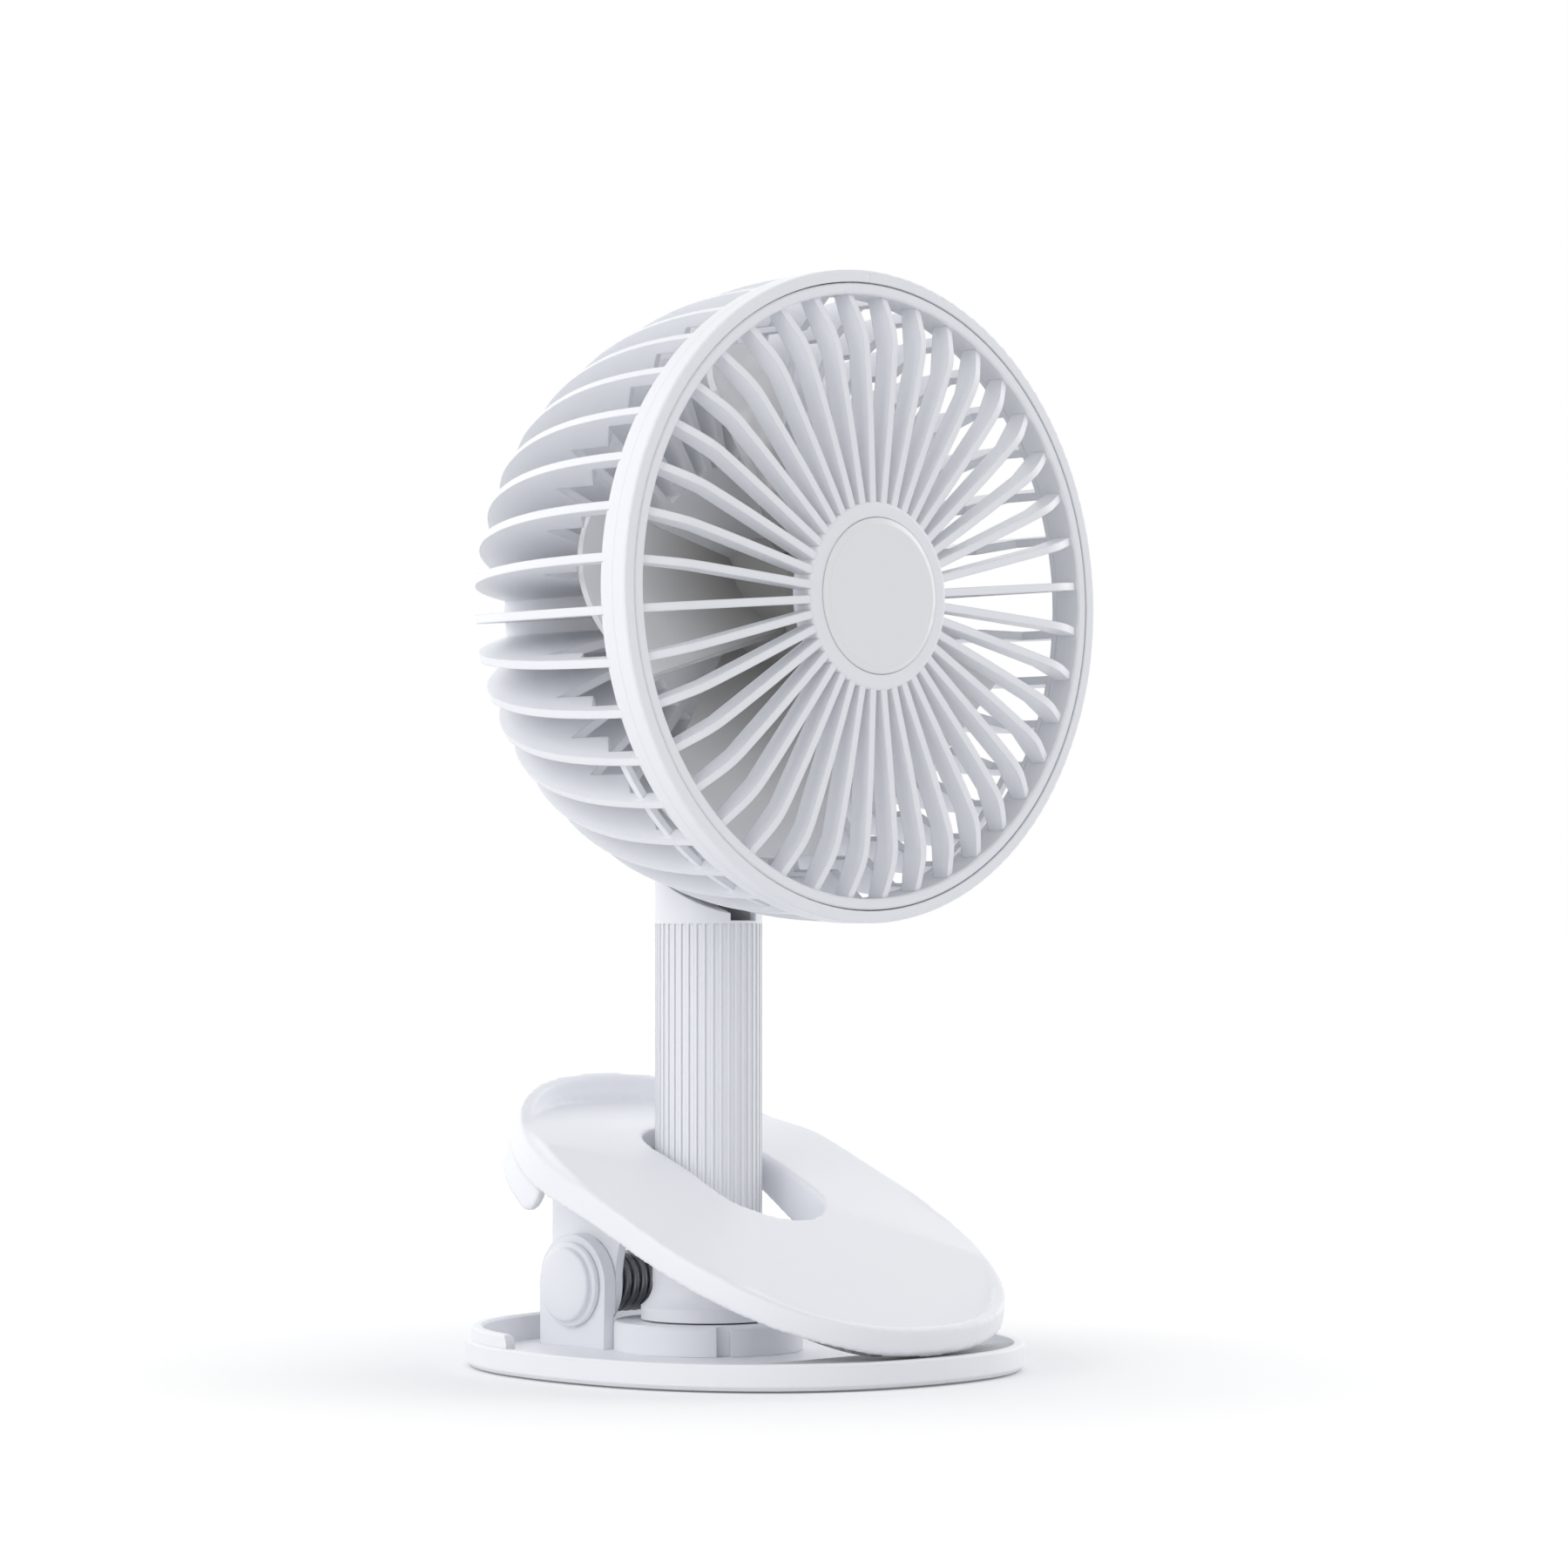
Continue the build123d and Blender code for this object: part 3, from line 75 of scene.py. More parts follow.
look = Vector((
    math.sin(CAMERA_AZIMUTH) * math.cos(CAMERA_RISE),
    math.cos(CAMERA_AZIMUTH) * math.cos(CAMERA_RISE),
    math.sin(CAMERA_RISE),
))
camera_data = bpy.data.cameras.new("camera")
camera_data.sensor_width = 36.0
camera_data.lens = 112.6
camera_data.clip_start = 0.05
camera = bpy.data.objects.new("camera", camera_data)
bpy.context.collection.objects.link(camera)
camera.location = CAMERA_PLACE
camera.rotation_euler = look.to_track_quat("-Z", "Y").to_euler()
bpy.context.scene.camera = camera
print("camera", tuple(round(v, 3) for v in camera.location), "lens", round(camera_data.lens, 1))

# %% [markdown]
# ## Shader maths as Python
#
# A Blender material is a graph of nodes. Built by hand in Python, a graph soon takes more lines than
# the idea behind it. Two small classes keep it short: `Value` wraps the output of a node, so that
# `0.5 + 2 * noise` adds the Math nodes by itself, and `Finish` holds one material and makes any other
# node with a single method.

# %% Value and Finish
class Value:
    """The output of a shader node, which can be used in Python sums."""

    def __init__(self, finish, socket):
        self.finish, self.socket = finish, socket

    def _math(self, operation, a, b=0.0):
        return self.finish.node("ShaderNodeMath", {"operation": operation}, {0: a, 1: b})

    def __add__(self, other):
        return self._math("ADD", self, other)

    __radd__ = __add__

    def __mul__(self, other):
        return self._math("MULTIPLY", self, other)

    __rmul__ = __mul__

    def __sub__(self, other):
        return self._math("SUBTRACT", self, other)

    def __rsub__(self, other):
        return self._math("SUBTRACT", other, self)

    def __truediv__(self, other):
        return self._math("DIVIDE", self, other)

    def __abs__(self):
        return self._math("ABSOLUTE", self)

    def clamp(self):
        return self._math("MINIMUM", self._math("MAXIMUM", self, 0.0), 1.0)

    def over(self, edge, soft=0.05):
        """0 below an edge and 1 above it, with a soft step."""
        return ((self - edge) / soft + 0.5).clamp()


class Finish:
    """One material, its Principled shader and its nodes."""

    def __init__(self, name, **sockets):
        self.material = bpy.data.materials.new(name)
        self.material.use_nodes = True
        self.tree = self.material.node_tree
        self.shader = self.tree.nodes["Principled BSDF"]
        self.relief = None
        for socket, value in sockets.items():
            self.set(socket.replace("_", " "), value)

    def node(self, kind, settings=None, inputs=None, output=0):
        made = self.tree.nodes.new(kind)
        for key, value in (settings or {}).items():
            if key == "stops":
                ramp = made.color_ramp
                while len(ramp.elements) < len(value):
                    ramp.elements.new(1.0)
                for element, (place, colour) in zip(ramp.elements, value):
                    element.position, element.color = place, (*colour, 1.0)
            else:
                setattr(made, key, value)
        for key, value in (inputs or {}).items():
            if isinstance(value, Value):
                self.tree.links.new(value.socket, made.inputs[key])
            else:
                made.inputs[key].default_value = value
        return Value(self, made.outputs[output])

    def set(self, socket, value):
        if isinstance(value, Value):
            self.tree.links.new(value.socket, self.shader.inputs[socket])
        else:
            if isinstance(value, tuple) and len(value) == 3:
                value = (*value, 1.0)
            self.shader.inputs[socket].default_value = value

    def place(self, centre=(0, 0, 0), stretch=(1, 1, 1)):
        """Object coordinates in metres, measured from a centre and stretched along each axis."""
        spot = self.node("ShaderNodeTexCoord", output=3)
        shift = tuple(-c * s for c, s in zip(centre, stretch))
        return self.node("ShaderNodeMapping", {}, {"Vector": spot, "Location": shift, "Scale": stretch})

    def along(self, axis, centre=(0, 0, 0)):
        """One coordinate: 0 for X, 1 for Y, 2 for Z."""
        return self.node("ShaderNodeSeparateXYZ", {}, {0: self.place(centre)}, output=axis)

    def distance(self, centre, stretch=(1, 1, 1)):
        return self.node(
            "ShaderNodeVectorMath", {"operation": "LENGTH"}, {0: self.place(centre, stretch)}, output=1
        )

    def noise(self, scale, detail=2.0, stretch=(1, 1, 1), roughness=0.5):
        """Smooth random spots, about 1/scale metres across."""
        spot = self.place(stretch=stretch)
        inputs = {"Vector": spot, "Scale": scale, "Detail": detail, "Roughness": roughness}
        return self.node("ShaderNodeTexNoise", {}, inputs)

    def mix(self, factor, low, high):
        return self.node(
            "ShaderNodeMix", {"data_type": "RGBA"},
            {0: factor, 6: (*low, 1.0) if isinstance(low, tuple) else low,
             7: (*high, 1.0) if isinstance(high, tuple) else high}, output=2,
        )

    def round_edges(self, radius):
        """Shade sharp edges as if they were rounded."""
        self.relief = self.node("ShaderNodeBevel", {"samples": 4}, {"Radius": radius})
        self.set("Normal", self.relief)

    def bump(self, height, depth, strength=1.0):
        """Turn a height from 0 to 1 into relief that is `depth` metres deep, over what is there."""
        inputs = {"Height": height, "Distance": depth, "Strength": strength}
        if self.relief:
            inputs["Normal"] = self.relief
        self.relief = self.node("ShaderNodeBump", {}, inputs)
        self.set("Normal", self.relief)


print("helpers for finishes:", Value.__name__, "and", Finish.__name__)

# %% [markdown]
# ## Dressing the CAD parts
#
# Most parts of the fan keep the shape that CAD gave them and only need a finish. Each of them is a node
# of the frame with one or more material slots, so a finish is put on by filling those slots.

# %% Dressing CAD nodes
def dress(finish, *nodes):
    """Give CAD nodes a finish, in every slot that they have."""
    for name in nodes:
        for piece_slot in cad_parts[name].material_slots:
            piece_slot.material = finish.material
    print(finish.material.name, "->", ", ".join(nodes))


print("slots to fill:", sum(len(node.material_slots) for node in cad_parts.values()))

# %% [markdown]
# ## White moulded plastic
#
# The fan's shell is white ABS from a finely etched mould: a satin skin whose sheen breaks up over less
# than a millimetre. Four things sell it: a base colour that is a cool near-white and not pure white, so
# that shading can still be seen; a faint, broad change of tone, because no moulding has one even
# colour; a very shallow grain that only shows in the highlights; and edges that catch a thin line of
# light, because no mould has a perfectly sharp corner. The Bevel node gives that line without a single
# new face. A texture image could do the rest, but noise on Object coordinates has no seams and works on
# every part at once.

# %% Shell plastic
WHITE = (0.912, 0.923, 0.955)
WHITE_DEEP = (0.892, 0.906, 0.943)
FLOW_SCALE = 14.0     # broad changes of tone, about 7 cm across
GRAIN_SCALE = 2600.0  # the mould's etching, about 0.4 mm across


def broad_tone(plastic, light, deep):
    """A colour that drifts a little between two tones over the part."""
    flow = plastic.noise(FLOW_SCALE, 3.0)
    return flow, plastic.mix(((flow - 0.35) * 1.6).clamp(), deep, light)


def moulded(name, light, deep, roughness, grain=0.000012, edge=0.0004, coat=0.0):
    plastic = Finish(name, Specular_IOR_Level=0.5)
    flow, tone = broad_tone(plastic, light, deep)
    plastic.set("Base Color", tone)
    fine = plastic.noise(GRAIN_SCALE, 2.0)
    plastic.set("Roughness", roughness + 0.10 * (fine - 0.5) + 0.06 * (flow - 0.5))
    if coat:
        plastic.set("Coat Weight", coat)
        plastic.set("Coat Roughness", 0.12)
    if edge:
        plastic.round_edges(edge)
    plastic.bump(fine, grain)
    return plastic


shell = moulded("shell_plastic", WHITE, WHITE_DEEP, 0.42)
dress(
    shell, "front_grille", "column_tube", "column_foot", "base_plate", "rear_cap", "jaw_frame",
    "swivel_seat", "power_button",
)

# %% [markdown]
# ## The rim's parting line
#
# A fine groove runs round the middle of the rim band, where the two halves of its mould meet. It is far
# too thin to model, so it is drawn in the material: a narrow strip a few millimetres behind the rim's
# front face lies a hair lower and a little darker than the rest. The same band carries one short tick
# at its top, where the seam begins.

# %% Cage plastic with its parting line
HEAD_RADIUS = 0.0635
HEAD_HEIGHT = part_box("rear_cage")[1][2] - HEAD_RADIUS
BAND_LINE_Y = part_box("rear_cage")[0][1] + 0.0034
LINE_HALF, TICK_HALF, LINE_SOFT = 0.00016, 0.00018, 0.00012
BAND_INSIDE = 0.003   # the tick stays within this depth under the band's outside
TICK_REACH = 0.0029   # and ends this far behind the line
SEAM_SHADE = (0.6, 0.61, 0.64)
SEAM_DEPTH = 0.00003

cage_plastic = moulded("cage_plastic", WHITE, WHITE_DEEP, 0.42)
line = 1 - abs(cage_plastic.along(1, (0, BAND_LINE_Y, 0))).over(LINE_HALF, LINE_SOFT)
tick_side = 1 - abs(cage_plastic.along(0)).over(TICK_HALF, LINE_SOFT)
tick_top = cage_plastic.along(2).over(HEAD_HEIGHT + HEAD_RADIUS - BAND_INSIDE, 0.0004)
tick_band = 1 - cage_plastic.along(1).over(BAND_LINE_Y + TICK_REACH, 0.0002)
seam = (line + tick_side * tick_top * tick_band).clamp()
clean = broad_tone(cage_plastic, WHITE, WHITE_DEEP)[1]
cage_plastic.set("Base Color", cage_plastic.mix(seam * 0.2, clean, SEAM_SHADE))
cage_plastic.bump(1 - seam, SEAM_DEPTH)
dress(cage_plastic, "rear_cage")
print("head's axis is", round(HEAD_HEIGHT * 1000, 1), "mm up")
print("the line is at y", round(BAND_LINE_Y * 1000, 1), "mm")

# %% [markdown]
# ## The round cover of the hub
#
# The cover in the middle of the grille is polished where the rest is satin. The difference is small:
# the same white with a thin clear coat on top, which gives one calm reflection over the rougher base.

# %% Hub cover
hub_gloss = moulded(
    "hub_gloss", (0.885, 0.895, 0.91), (0.87, 0.88, 0.90), 0.34, grain=0.000006, edge=0.0005, coat=0.25,
)
dress(hub_gloss, "hub_medallion")

# %% [markdown]
# ## The smoky impeller
#
# The blades behind the grille are moulded in a smoky grey. They are glossier than the shell and almost
# white at their tips. Towards the hub their colour darkens. That darkening is painted shade, standing
# in for the deep shadow round the hub between the blades. A colour that changes with the distance from
# the motor's shaft gives both: Object coordinates are flattened onto the impeller's plane, and their
# length goes into a colour ramp.

# %% Impeller
HEAD_CENTRE = (0, 0, HEAD_HEIGHT)
HUB_RADIUS, BLADE_LENGTH = 0.013, 0.039
smoke = Finish("smoky_plastic_hub_shade", Specular_IOR_Level=0.5)
from_shaft = smoke.distance(HEAD_CENTRE, (1, 0, 1))
drift = smoke.noise(60.0, 2.0)
share = ((from_shaft - HUB_RADIUS) / BLADE_LENGTH + 0.10 * (drift - 0.5)).clamp()
# painted shade: dark at the hub for the shadow between the blades' roots, light grey at the tips
SMOKE_AND_HUB_SHADE_STOPS = [
    (0.0, (0.24, 0.235, 0.23)),
    (0.3, (0.42, 0.415, 0.41)),
    (0.65, (0.70, 0.70, 0.705)),
    (1.0, (0.83, 0.84, 0.855)),
]
smoke.set("Base Color", smoke.node("ShaderNodeValToRGB", {"stops": SMOKE_AND_HUB_SHADE_STOPS}, {0: share}))
smoke.set("Roughness", 0.24 + 0.08 * (smoke.noise(900.0) - 0.5))
smoke.round_edges(0.0003)
smoke.bump(smoke.noise(1500.0), 0.000006)
dress(smoke, "impeller")

# %% [markdown]
# ## Metal, and the parts inside
#
# Most of what follows is hidden behind plastic, but a part of a library is looked at with its covers
# off too. Turned pins and screws carry fine rings round their axis, so their noise is stretched until
# it turns into lines. The same helper makes the dark spring steel, the iron of the rotor and the porous
# bronze of the bushes.

# %% Metals
def metal(name, light, dark, roughness, stretch=(1, 1, 1), scale=900.0, depth=0.000008):
    made = Finish(name, Metallic=1.0)
    lines = made.noise(scale, 3.0, stretch)
    broad = made.noise(120.0, 2.0)
    made.set("Base Color", made.mix(((lines + broad) * 0.9 - 0.4).clamp(), dark, light))
    made.set("Roughness", roughness + 0.16 * (lines - 0.5) + 0.10 * (broad - 0.5))
    made.bump(lines, depth)
    return made


pin_steel = metal("pin_steel", (0.74, 0.75, 0.77), (0.56, 0.57, 0.59), 0.26, (30, 1, 1))
screw_steel = metal("screw_steel", (0.72, 0.73, 0.75), (0.5, 0.51, 0.53), 0.32)
case_steel = metal("case_steel", (0.7, 0.71, 0.73), (0.58, 0.59, 0.61), 0.3, (1, 25, 1))
rotor_iron = metal(
    "rotor_iron", (0.34, 0.34, 0.36), (0.2, 0.2, 0.21), 0.45, (1, 60, 1), scale=700.0, depth=0.00003,
)
bush_bronze = metal(
    "bush_bronze", (0.72, 0.52, 0.27), (0.5, 0.34, 0.16), 0.4, scale=2600.0, depth=0.00002,
)
wire_steel = metal("wire_steel", (0.30, 0.31, 0.33), (0.16, 0.165, 0.18), 0.34, scale=1800.0)
dress(pin_steel, "hinge_pin", "tilt_pin", "motor_shaft")
dress(screw_steel, "seat_screws", "jaw_screws", "retainer_screw", "cap_screws", "motor_screws")
dress(case_steel, "motor_case", "usb_socket")
dress(rotor_iron, "motor_rotor")
dress(bush_bronze, "motor_bushes")

# %% [markdown]
# ## Plastics inside, the cell and the light
#
# The parts behind the covers are moulded too, so they share the shell's recipe with other colours: a
# plain grey for structure, near-black for washers and the switch, a blue shrink sleeve round the cell
# and a pale, clear-looking light guide.

# %% Inner plastics, cell and light
inner_grey = moulded("inner_grey", (0.66, 0.67, 0.69), (0.58, 0.59, 0.61), 0.45)
washer_dark = moulded("washer_dark", (0.10, 0.10, 0.11), (0.06, 0.06, 0.065), 0.55, 0.00003)
switch_dark = moulded("switch_dark", (0.035, 0.035, 0.038), (0.02, 0.02, 0.022), 0.4)
cell_sleeve = moulded("cell_sleeve", (0.10, 0.30, 0.58), (0.07, 0.24, 0.50), 0.3, 0.00002)
clear_pipe = moulded("clear_pipe", (0.90, 0.93, 0.97), (0.82, 0.86, 0.92), 0.25)
dress(inner_grey, "swivel_retainer", "neck_yoke")
dress(washer_dark, "tilt_washers")
dress(switch_dark, "tact_switch")
dress(cell_sleeve, "battery_cell")
dress(clear_pipe, "charge_light")

# %% [markdown]
# ## The circuit board
#
# A board is green lacquer over thin copper tracks. Real tracks run straight in two directions, so two
# sine waves across the board are cut to thin lines, and a noise decides which direction shows where.

# %% Circuit board
TRACK_RATE = 2400.0   # radians a metre: a track every 1.3 mm


def wave(finish, axis, rate):
    """A sine wave along one axis, from -1 to 1."""
    return finish.node("ShaderNodeMath", {"operation": "SINE"}, {0: finish.along(axis) * rate})


board = Finish("circuit_board", Roughness=0.38)
grid_x = abs(wave(board, 0, TRACK_RATE))
grid_z = abs(wave(board, 2, TRACK_RATE))
patch = board.noise(160.0, 0.0).over(0.52, 0.02)
tracks = (grid_x.over(0.9, 0.06) * patch + grid_z.over(0.9, 0.06) * (1 - patch)).clamp()
board.set("Base Color", board.mix(tracks, (0.02, 0.16, 0.07), (0.05, 0.28, 0.12)))
board.bump(tracks, 0.00004)
dress(board, "control_board")

# %% [markdown]
# ## Soft rubber
#
# The pads that touch the desk are a soft light grey rubber. Rubber shows almost no highlight, and its
# surface is powdery, so it gets a high roughness, a clear grain and a little sheen towards its edges.
# Fine ribs, which a mould cuts straight into such pads, are part of the material too. They follow one
# axis of each pad.

# %% Rubber
def rubber(name, rib_axis, rib_pitch, light=(0.60, 0.61, 0.63), deep=(0.50, 0.51, 0.53)):
    made = Finish(name, Sheen_Weight=0.2)
    powder = made.noise(1400.0, 4.0)
    broad = made.noise(40.0)
    rib = wave(made, rib_axis, 2 * math.pi / rib_pitch)
    made.set("Base Color", made.mix(((powder + broad) * 0.8 - 0.3).clamp(), deep, light))
    made.set("Roughness", 0.78 + 0.16 * (powder - 0.5))
    made.round_edges(0.0003)
    made.bump(rib.over(0.0, 1.2), 0.00025)
    made.bump(powder, 0.00003)
    return made


sole_rubber = rubber("sole_rubber", 1, 0.003)
grip_rubber = rubber("grip_rubber", 0, 0.002)
foam = rubber("cell_foam", 2, 0.02, (0.30, 0.30, 0.31), (0.2, 0.2, 0.21))
print("rubbers:", ", ".join(made.material.name for made in (sole_rubber, grip_rubber, foam)))

# %% [markdown]
# ## Working on a piece by hand
#
# New pieces are made with the same operators as in Blender's window. Two habits keep that safe in a
# script: everything is deselected before a piece is added, and faces are picked by their place or by
# their direction, never by their number.

# %% Helpers for modelling
def deselect():
    if bpy.context.object and bpy.context.object.mode != "OBJECT":
        bpy.ops.object.mode_set(mode="OBJECT")
    bpy.ops.object.select_all(action="DESELECT")


def only(piece):
    deselect()
    piece.select_set(True)
    bpy.context.view_layer.objects.active = piece


def pick_faces(piece, test):
    """Select the faces whose centre and normal pass a test, and leave the piece in edit mode."""
    bpy.ops.object.mode_set(mode="OBJECT")
    for item in (*piece.data.vertices, *piece.data.edges):
        item.select = False
    count = 0
    for face in piece.data.polygons:
        face.select = test(face.center, face.normal)
        count += face.select
    bpy.ops.object.mode_set(mode="EDIT")
    bpy.ops.mesh.select_mode(type="FACE")
    return count


def modifier(piece, kind, **settings):
    """Add a modifier, set it and apply it at once."""
    only(piece)
    added = piece.modifiers.new(kind.lower(), kind)
    for key, value in settings.items():
        setattr(added, key, value)
    bpy.ops.object.modifier_apply(modifier=added.name)


def copy_of(node, name):
    """A merged copy of a CAD node's mesh, to be worked on."""
    deselect()
    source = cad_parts[node]
    piece = bpy.data.objects.new(name, source.data.copy())
    bpy.context.collection.objects.link(piece)
    only(piece)
    piece.data.materials.clear()
    bpy.ops.object.mode_set(mode="EDIT")
    bpy.ops.mesh.select_all(action="SELECT")
    bpy.ops.mesh.remove_doubles(threshold=0.000002)
    bpy.ops.object.mode_set(mode="OBJECT")
    return piece


def finish_piece(piece, finish, body, slot, *nodes, angle=35.0):
    """Shade a piece, give it its finish, hang it on its body if it has one and hide the given CAD
    nodes.
    """
    only(piece)
    bpy.ops.object.transform_apply(location=True, rotation=True, scale=True)
    bpy.ops.object.shade_smooth_by_angle(angle=math.radians(angle))
    piece.data.materials.clear()
    piece.data.materials.append(finish.material)
    if body:
        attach(piece, body)
    if nodes:
        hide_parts(*nodes)
    print(piece.name, len(piece.data.polygons), "faces on", body or "two bodies")


helpers = (deselect, only, pick_faces, modifier, copy_of, finish_piece)
print("helpers for modelling:", ", ".join(helper.__name__ for helper in helpers))

# %% [markdown]
# ## The upper jaw
#
# The upper jaw is one thin moulding in which every surface runs into the next: the lip is soft, the
# hollow sweeps round into the floor, and the slot for the column has a rolled edge. CAD gives it hard
# corners where these meet. A bevel can't follow so many meeting edges, so the shell and the slot's
# lining are copied and joined, rebuilt as one even skin of small squares with a voxel remesh, and then
# relaxed a few times, which rounds each corner and keeps the lip.

# %% Upper jaw
SKIN_SQUARE = 0.00056

jaw = copy_of("upper_jaw", "jaw_shell")
copy_of("slot_liner", "liner")   # stays selected, to be joined
jaw.select_set(True)
bpy.context.view_layer.objects.active = jaw
bpy.ops.object.join()
modifier(jaw, "REMESH", mode="VOXEL", voxel_size=SKIN_SQUARE, use_smooth_shade=True)
modifier(jaw, "SMOOTH", factor=0.5, iterations=4)
finish_piece(jaw, shell, "jaw", "white_shell", "upper_jaw", "slot_liner", angle=60.0)
print("jaw triangles about", 2 * len(jaw.data.polygons))

# %% [markdown]
# ## The torsion spring
#
# A torsion spring is a wire wound round the hinge pin, with a straight leg at each end: one presses on
# the tray, the other on the jaw. CAD sweeps an eight-sided wire. Here it is wound as a spring maker
# does it. One round section stands beside the pin's axis, and a Screw modifier turns and shifts it
# through a little over eight turns. Each end of the coil is then drawn out into its leg.

# %% Torsion spring
HINGE = Vector((0, 0.0227, 0.0153))
WIRE_R = 0.0008
COIL_R = 0.0054
COIL_LEN = 0.018
LEG_LOW = math.radians(-120)
SWEEP = math.radians(-120 - 165 + 360 * 9)
TRAY_FLOOR_Z = 0.0027
JAW_TILT = math.radians(25)
JAW_UP = Vector((0, -math.sin(JAW_TILT), math.cos(JAW_TILT)))
JAW_ORIGIN = Vector((0, -0.0158, 0.0336))
BRIDGE_FACE = JAW_ORIGIN - 0.0106 * JAW_UP   # underside of the plate between the jaw's cheeks
LEG_GAP = 0.00015                            # how far each leg stays off what it presses on

print("turns of the coil:", round(SWEEP / (2 * math.pi), 2))


def coil_point(angle, x):
    return HINGE + Vector((x, COIL_R * math.cos(angle), COIL_R * math.sin(angle)))


def coil_heading(angle):
    slope = COIL_LEN / (COIL_R * SWEEP)
    return Vector((slope, math.sin(angle), -math.cos(angle))).normalized()


# %% Wind the coil
deselect()
first = coil_point(LEG_LOW, -COIL_LEN / 2) - HINGE
last = coil_point(LEG_LOW - SWEEP, COIL_LEN / 2)
TURNS, STEPS = 9, 28


def wind(sign):
    """Wind the wire section about the X axis and put the coil on the hinge pin."""
    turn = coil_heading(LEG_LOW).to_track_quat("Z", "X").to_euler()
    bpy.ops.mesh.primitive_circle_add(
        vertices=16, radius=WIRE_R, fill_type="NOTHING", location=first, rotation=turn,
    )
    coil = bpy.context.object
    bpy.ops.object.transform_apply(location=True, rotation=True, scale=True)
    modifier(
        coil, "SCREW", axis="X", angle=sign * SWEEP / TURNS, screw_offset=COIL_LEN / TURNS,
        iterations=TURNS, steps=STEPS, render_steps=STEPS,
    )
    coil.location = HINGE
    bpy.ops.object.transform_apply(location=True, rotation=True, scale=True)
    return coil, min((v.co - last).length for v in coil.data.vertices)


spring, miss = wind(-1)
if miss > 2 * WIRE_R:
    bpy.data.objects.remove(spring)
    spring, miss = wind(1)
spring.name = "wound_spring"
print("the coil ends", round(miss * 1000, 2), "mm from the middle of its last section")

# %% Draw out the two legs
LEG_TIP = 0.0001   # the last step of a leg, over which its end tapers


def draw_out(piece, centre, heading, length, steps=4):
    """Extrude the open end round a centre along a heading, and close it."""
    only(piece)
    for vertex in piece.data.vertices:
        away = vertex.co - centre
        vertex.select = away.length < 1.3 * WIRE_R and abs(away.dot(heading)) < 0.25 * WIRE_R
    for item in (*piece.data.edges, *piece.data.polygons):
        item.select = False
    for edge in piece.data.edges:
        edge.select = all(piece.data.vertices[i].select for i in edge.vertices)
    picked = sum(vertex.select for vertex in piece.data.vertices)
    bpy.ops.object.mode_set(mode="EDIT")
    bpy.ops.mesh.select_mode(type="EDGE")
    for _ in range(steps):
        bpy.ops.mesh.extrude_region_move(TRANSFORM_OT_translate={"value": heading * length / steps})
    bpy.ops.mesh.extrude_region_move(TRANSFORM_OT_translate={"value": heading * LEG_TIP})
    bpy.ops.transform.resize(value=(0.8, 0.8, 0.8))
    bpy.ops.mesh.edge_face_add()
    bpy.ops.object.mode_set(mode="OBJECT")
    return picked


low_start, low_heading = HINGE + first, -coil_heading(LEG_LOW)
low_length = (low_start.z - TRAY_FLOOR_Z - WIRE_R - LEG_GAP) / -low_heading.z - LEG_TIP
high_heading = coil_heading(LEG_LOW - SWEEP)
to_bridge = (BRIDGE_FACE - JAW_UP * (WIRE_R + LEG_GAP) - last).dot(JAW_UP)
high_length = to_bridge / high_heading.dot(JAW_UP) - LEG_TIP
ends = [
    draw_out(spring, low_start, low_heading, low_length),
    draw_out(spring, last, high_heading, high_length),
]
only(spring)
bpy.ops.object.mode_set(mode="EDIT")
bpy.ops.mesh.select_all(action="SELECT")
bpy.ops.mesh.remove_doubles(threshold=0.00001)
bpy.ops.mesh.normals_make_consistent(inside=False)
bpy.ops.object.mode_set(mode="OBJECT")
finish_piece(spring, wire_steel, None, "spring_steel", "torsion_spring", angle=60.0)
print("points at the open ends", ends)
print("leg lengths", round(low_length * 1000, 1), "and", round(high_length * 1000, 1), "mm")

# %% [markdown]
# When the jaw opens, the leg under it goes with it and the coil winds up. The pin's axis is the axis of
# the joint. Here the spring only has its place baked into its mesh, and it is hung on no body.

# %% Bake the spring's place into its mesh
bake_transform(spring)

# %% [markdown]
# ## Hinge caps
#
# The hinge pin ends under a round cap on each side: a thin flange with a raised, slightly domed face.
# One cap is shaped from a disc. Its outer face is inset and drawn out to make the step, and inset again
# a few times, a little higher each time, for the dome. The other cap is its mirror image, with its
# faces turned the right way round again.

# %% Hinge caps
CAP_FOOT_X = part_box("hinge_caps")[1][0] - 0.003


def outward(centre, normal):
    return normal.x > 0.9 and centre.x > CAP_FOOT_X + 0.0005


def step_face(piece, test, thickness, depth, rise=0.0):
    """Inset the faces that pass a test, and draw the inner face out along X."""
    pick_faces(piece, test)
    bpy.ops.mesh.inset(thickness=thickness, depth=depth)
    if rise:
        bpy.ops.mesh.extrude_region_move(TRANSFORM_OT_translate={"value": (rise, 0, 0)})
    bpy.ops.object.mode_set(mode="OBJECT")


deselect()
bpy.ops.mesh.primitive_cylinder_add(
    vertices=72, radius=0.0085, depth=0.0013, end_fill_type="NGON",
    location=(CAP_FOOT_X + 0.00065, HINGE.y, HINGE.z), rotation=(0, math.pi / 2, 0),
)
cap = bpy.context.object
cap.name = "hinge_cap_right"
bpy.ops.object.transform_apply(location=True, rotation=True, scale=True)
step_face(cap, lambda c, n: outward(c, n), 0.0011, 0.0, 0.0012)
step_face(cap, lambda c, n: outward(c, n) and c.x > CAP_FOOT_X + 0.002, 0.0009, 0.0002)
step_face(cap, lambda c, n: outward(c, n) and c.x > CAP_FOOT_X + 0.0026, 0.002, 0.0002)
step_face(cap, lambda c, n: outward(c, n) and c.x > CAP_FOOT_X + 0.0028, 0.002, 0.00008)
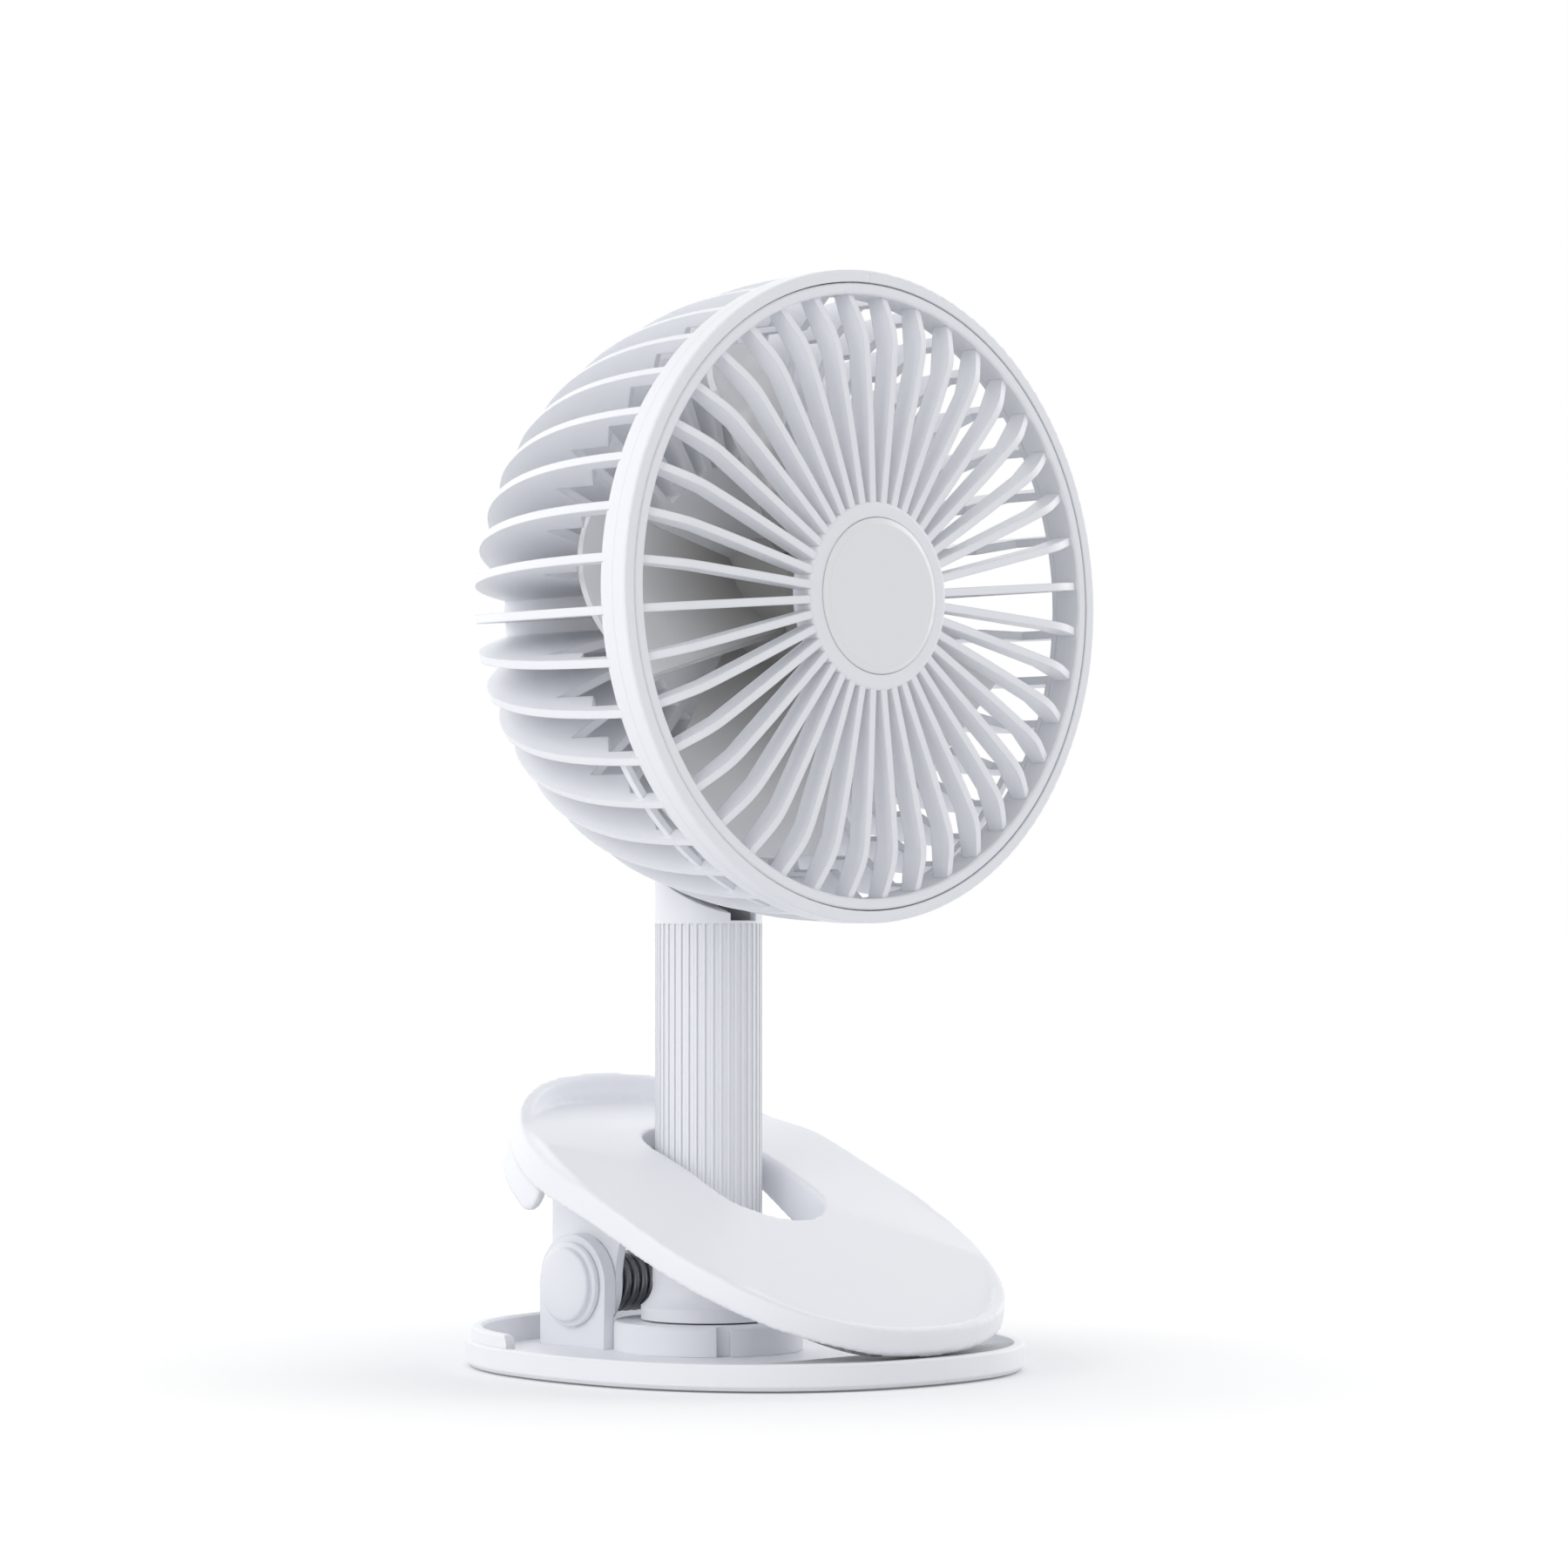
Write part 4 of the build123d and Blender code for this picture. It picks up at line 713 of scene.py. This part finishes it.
modifier(cap, "BEVEL", width=0.0004, segments=3, limit_method="ANGLE", angle_limit=math.radians(40))

other = bpy.data.objects.new("hinge_cap_left", cap.data.copy())
bpy.context.collection.objects.link(other)
other.data.transform(Matrix.Scale(-1, 4, (1, 0, 0)))
other.data.flip_normals()
for piece in (cap, other):
    finish_piece(piece, shell, "base", "white_shell", "hinge_caps")

# %% [markdown]
# ## Pads
#
# The rubber pads are cut from the CAD solids. Dissolving the flat triangles first leaves clean faces.
# Then the edges are rounded, except on the wedge under the jaw, whose rounding is left to its material.
# The sole under the foot also gets a shallow moat just inside its edge, as moulded soles have.

# %% Rubber pads
def soft_pad(node, name, finish, body, round_over, moat=0.0, face_side=(0, 0, -1), margin=0.0015):
    """Replace a CAD pad by a copy with rounded edges and, if wanted, a moat in one face."""
    pad = copy_of(node, name)
    bpy.ops.object.mode_set(mode="EDIT")
    bpy.ops.mesh.select_all(action="SELECT")
    bpy.ops.mesh.dissolve_limited(angle_limit=math.radians(0.5))
    bpy.ops.object.mode_set(mode="OBJECT")
    side = Vector(face_side).normalized()
    if moat and pick_faces(pad, lambda c, n: n.dot(side) > 0.9):
        # border, wall down, floor, wall up
        for thickness, depth in ((margin, 0.0), (0.0004, -moat), (0.0010, 0.0), (0.0004, moat)):
            bpy.ops.mesh.inset(thickness=thickness, depth=depth, use_even_offset=False)
    bpy.ops.object.mode_set(mode="OBJECT")
    if round_over:
        modifier(
            pad, "BEVEL", width=round_over, segments=2, limit_method="ANGLE",
            angle_limit=math.radians(50),
        )
    finish_piece(pad, finish, body, "soft_rubber", node)


soft_pad("foot_pad", "sole_pad", sole_rubber, "base", 0.00015, moat=0.0003)
soft_pad("base_grip_pad", "tray_grip", grip_rubber, "base", 0.0002)
soft_pad("jaw_grip_pad", "jaw_grip", grip_rubber, "jaw", 0.0)
soft_pad("cell_pads", "cell_foam", foam, "column", 0.0001)

# %% [markdown]
# ## Light, floor and background
#
# The fan was photographed in a white tent, where light comes from all sides and a little more from the
# left, the right and behind than from the front. An even white world gives the tent, and five broad,
# weak lamps give the difference. Together they light a plain white wall to about its own colour. The
# floor is pale paper. Close to the foot it is ordinary paper, so that it keeps the fan's soft shadow.
# Further out it turns into an even white, which only the camera and mirror-like surfaces see, so that
# no horizon shows behind the fan. The light on the fan isn't raised for that.

# %% Lamps
LAMP_SIZE = 1.2
LAMPS = [
    ("tent_left", (-1.4, 0.1, 0.8), 6.0),
    ("tent_left_low", (-1.5, -0.1, 0.4), 1.5),
    ("tent_right", (1.5, -0.15, 0.5), 7.5),
    ("tent_right_back", (1.1, 1.1, 0.7), 2.5),
    ("tent_back", (-0.1, 1.6, 0.7), 3.5),
]


def lamp(name, place, power, aim=(0, 0, 0.11)):
    data = bpy.data.lights.new(name, "AREA")
    data.shape, data.size, data.energy = "SQUARE", LAMP_SIZE, power
    light = bpy.data.objects.new(name, data)
    bpy.context.collection.objects.link(light)
    light.location = place
    light.rotation_euler = (Vector(aim) - Vector(place)).to_track_quat("-Z", "Y").to_euler()
    print(name, power, "W")


for name, place, power in LAMPS:
    lamp(name, place, power)

# %% White world
TENT_STRENGTH = 0.68

world = bpy.data.worlds.new("white_tent")
bpy.context.scene.world = world
world.use_nodes = True
sky = world.node_tree
sky.nodes.clear()
ray = sky.nodes.new("ShaderNodeLightPath")
either = sky.nodes.new("ShaderNodeMath")
either.operation, either.use_clamp = "ADD", True
tent, white = (sky.nodes.new("ShaderNodeBackground") for _ in range(2))
tent.inputs[0].default_value = (0.985, 0.99, 1.0, 1.0)
tent.inputs[1].default_value = TENT_STRENGTH
white.inputs[0].default_value = (1.0, 1.0, 1.0, 1.0)
white.inputs[1].default_value = 1.0
blend, out = sky.nodes.new("ShaderNodeMixShader"), sky.nodes.new("ShaderNodeOutputWorld")
sky.links.new(ray.outputs["Is Camera Ray"], either.inputs[0])
sky.links.new(ray.outputs["Is Glossy Ray"], either.inputs[1])
sky.links.new(either.outputs[0], blend.inputs[0])
sky.links.new(tent.outputs[0], blend.inputs[1])
sky.links.new(white.outputs[0], blend.inputs[2])
sky.links.new(blend.outputs[0], out.inputs[0])
print("the tent's strength is", TENT_STRENGTH)

# %% Floor
FOOT_CENTRE = (0, -0.0104, 0)
FOOT_HALF_WIDTH, FOOT_HALF_LENGTH = 0.0509, 0.0562
PAPER_REACH, PAPER_FADE = 2.1, 1.6   # in foot sizes from its centre
PAPER_GLOW = (0.11, 0.11, 0.11)
WHITE_OUT = (1.0, 1.0, 1.0)
DARK = (0.0, 0.0, 0.0)

deselect()
bpy.ops.mesh.primitive_plane_add(size=16, location=(1.6, 0.4, 0))
bpy.ops.object.transform_apply(location=True)
floor = bpy.context.object
floor.name = "floor"
paper = Finish("white_paper", Roughness=0.95, Specular_IOR_Level=0.1, Emission_Strength=1.0)
foot_sizes = paper.distance(FOOT_CENTRE, (1 / FOOT_HALF_WIDTH, 1 / FOOT_HALF_LENGTH, 0))
far = foot_sizes.over(PAPER_REACH, PAPER_FADE)
seen = (
    paper.node("ShaderNodeLightPath", output=0)      # camera rays
    + paper.node("ShaderNodeLightPath", output=3)    # glossy rays
    + paper.node("ShaderNodeLightPath", output=6)    # transmission rays
).clamp()
paper.set("Base Color", paper.mix(far * seen, (0.88, 0.885, 0.895), DARK))
glow = paper.mix(far, PAPER_GLOW, WHITE_OUT)
paper.set("Emission Color", paper.mix(seen, DARK, glow))
floor.data.materials.append(paper.material)
bpy.context.scene.view_settings.view_transform = "Standard"
fade_ends = [round(PAPER_REACH + sign * PAPER_FADE / 2, 2) for sign in (-1, 1)]
print("the paper turns white between", fade_ends, "foot sizes from the foot's centre")

# %% [markdown]
# ## Closing
#
# The script ends with nothing selected. The visual model has to keep to the CAD model's box.

deselect()
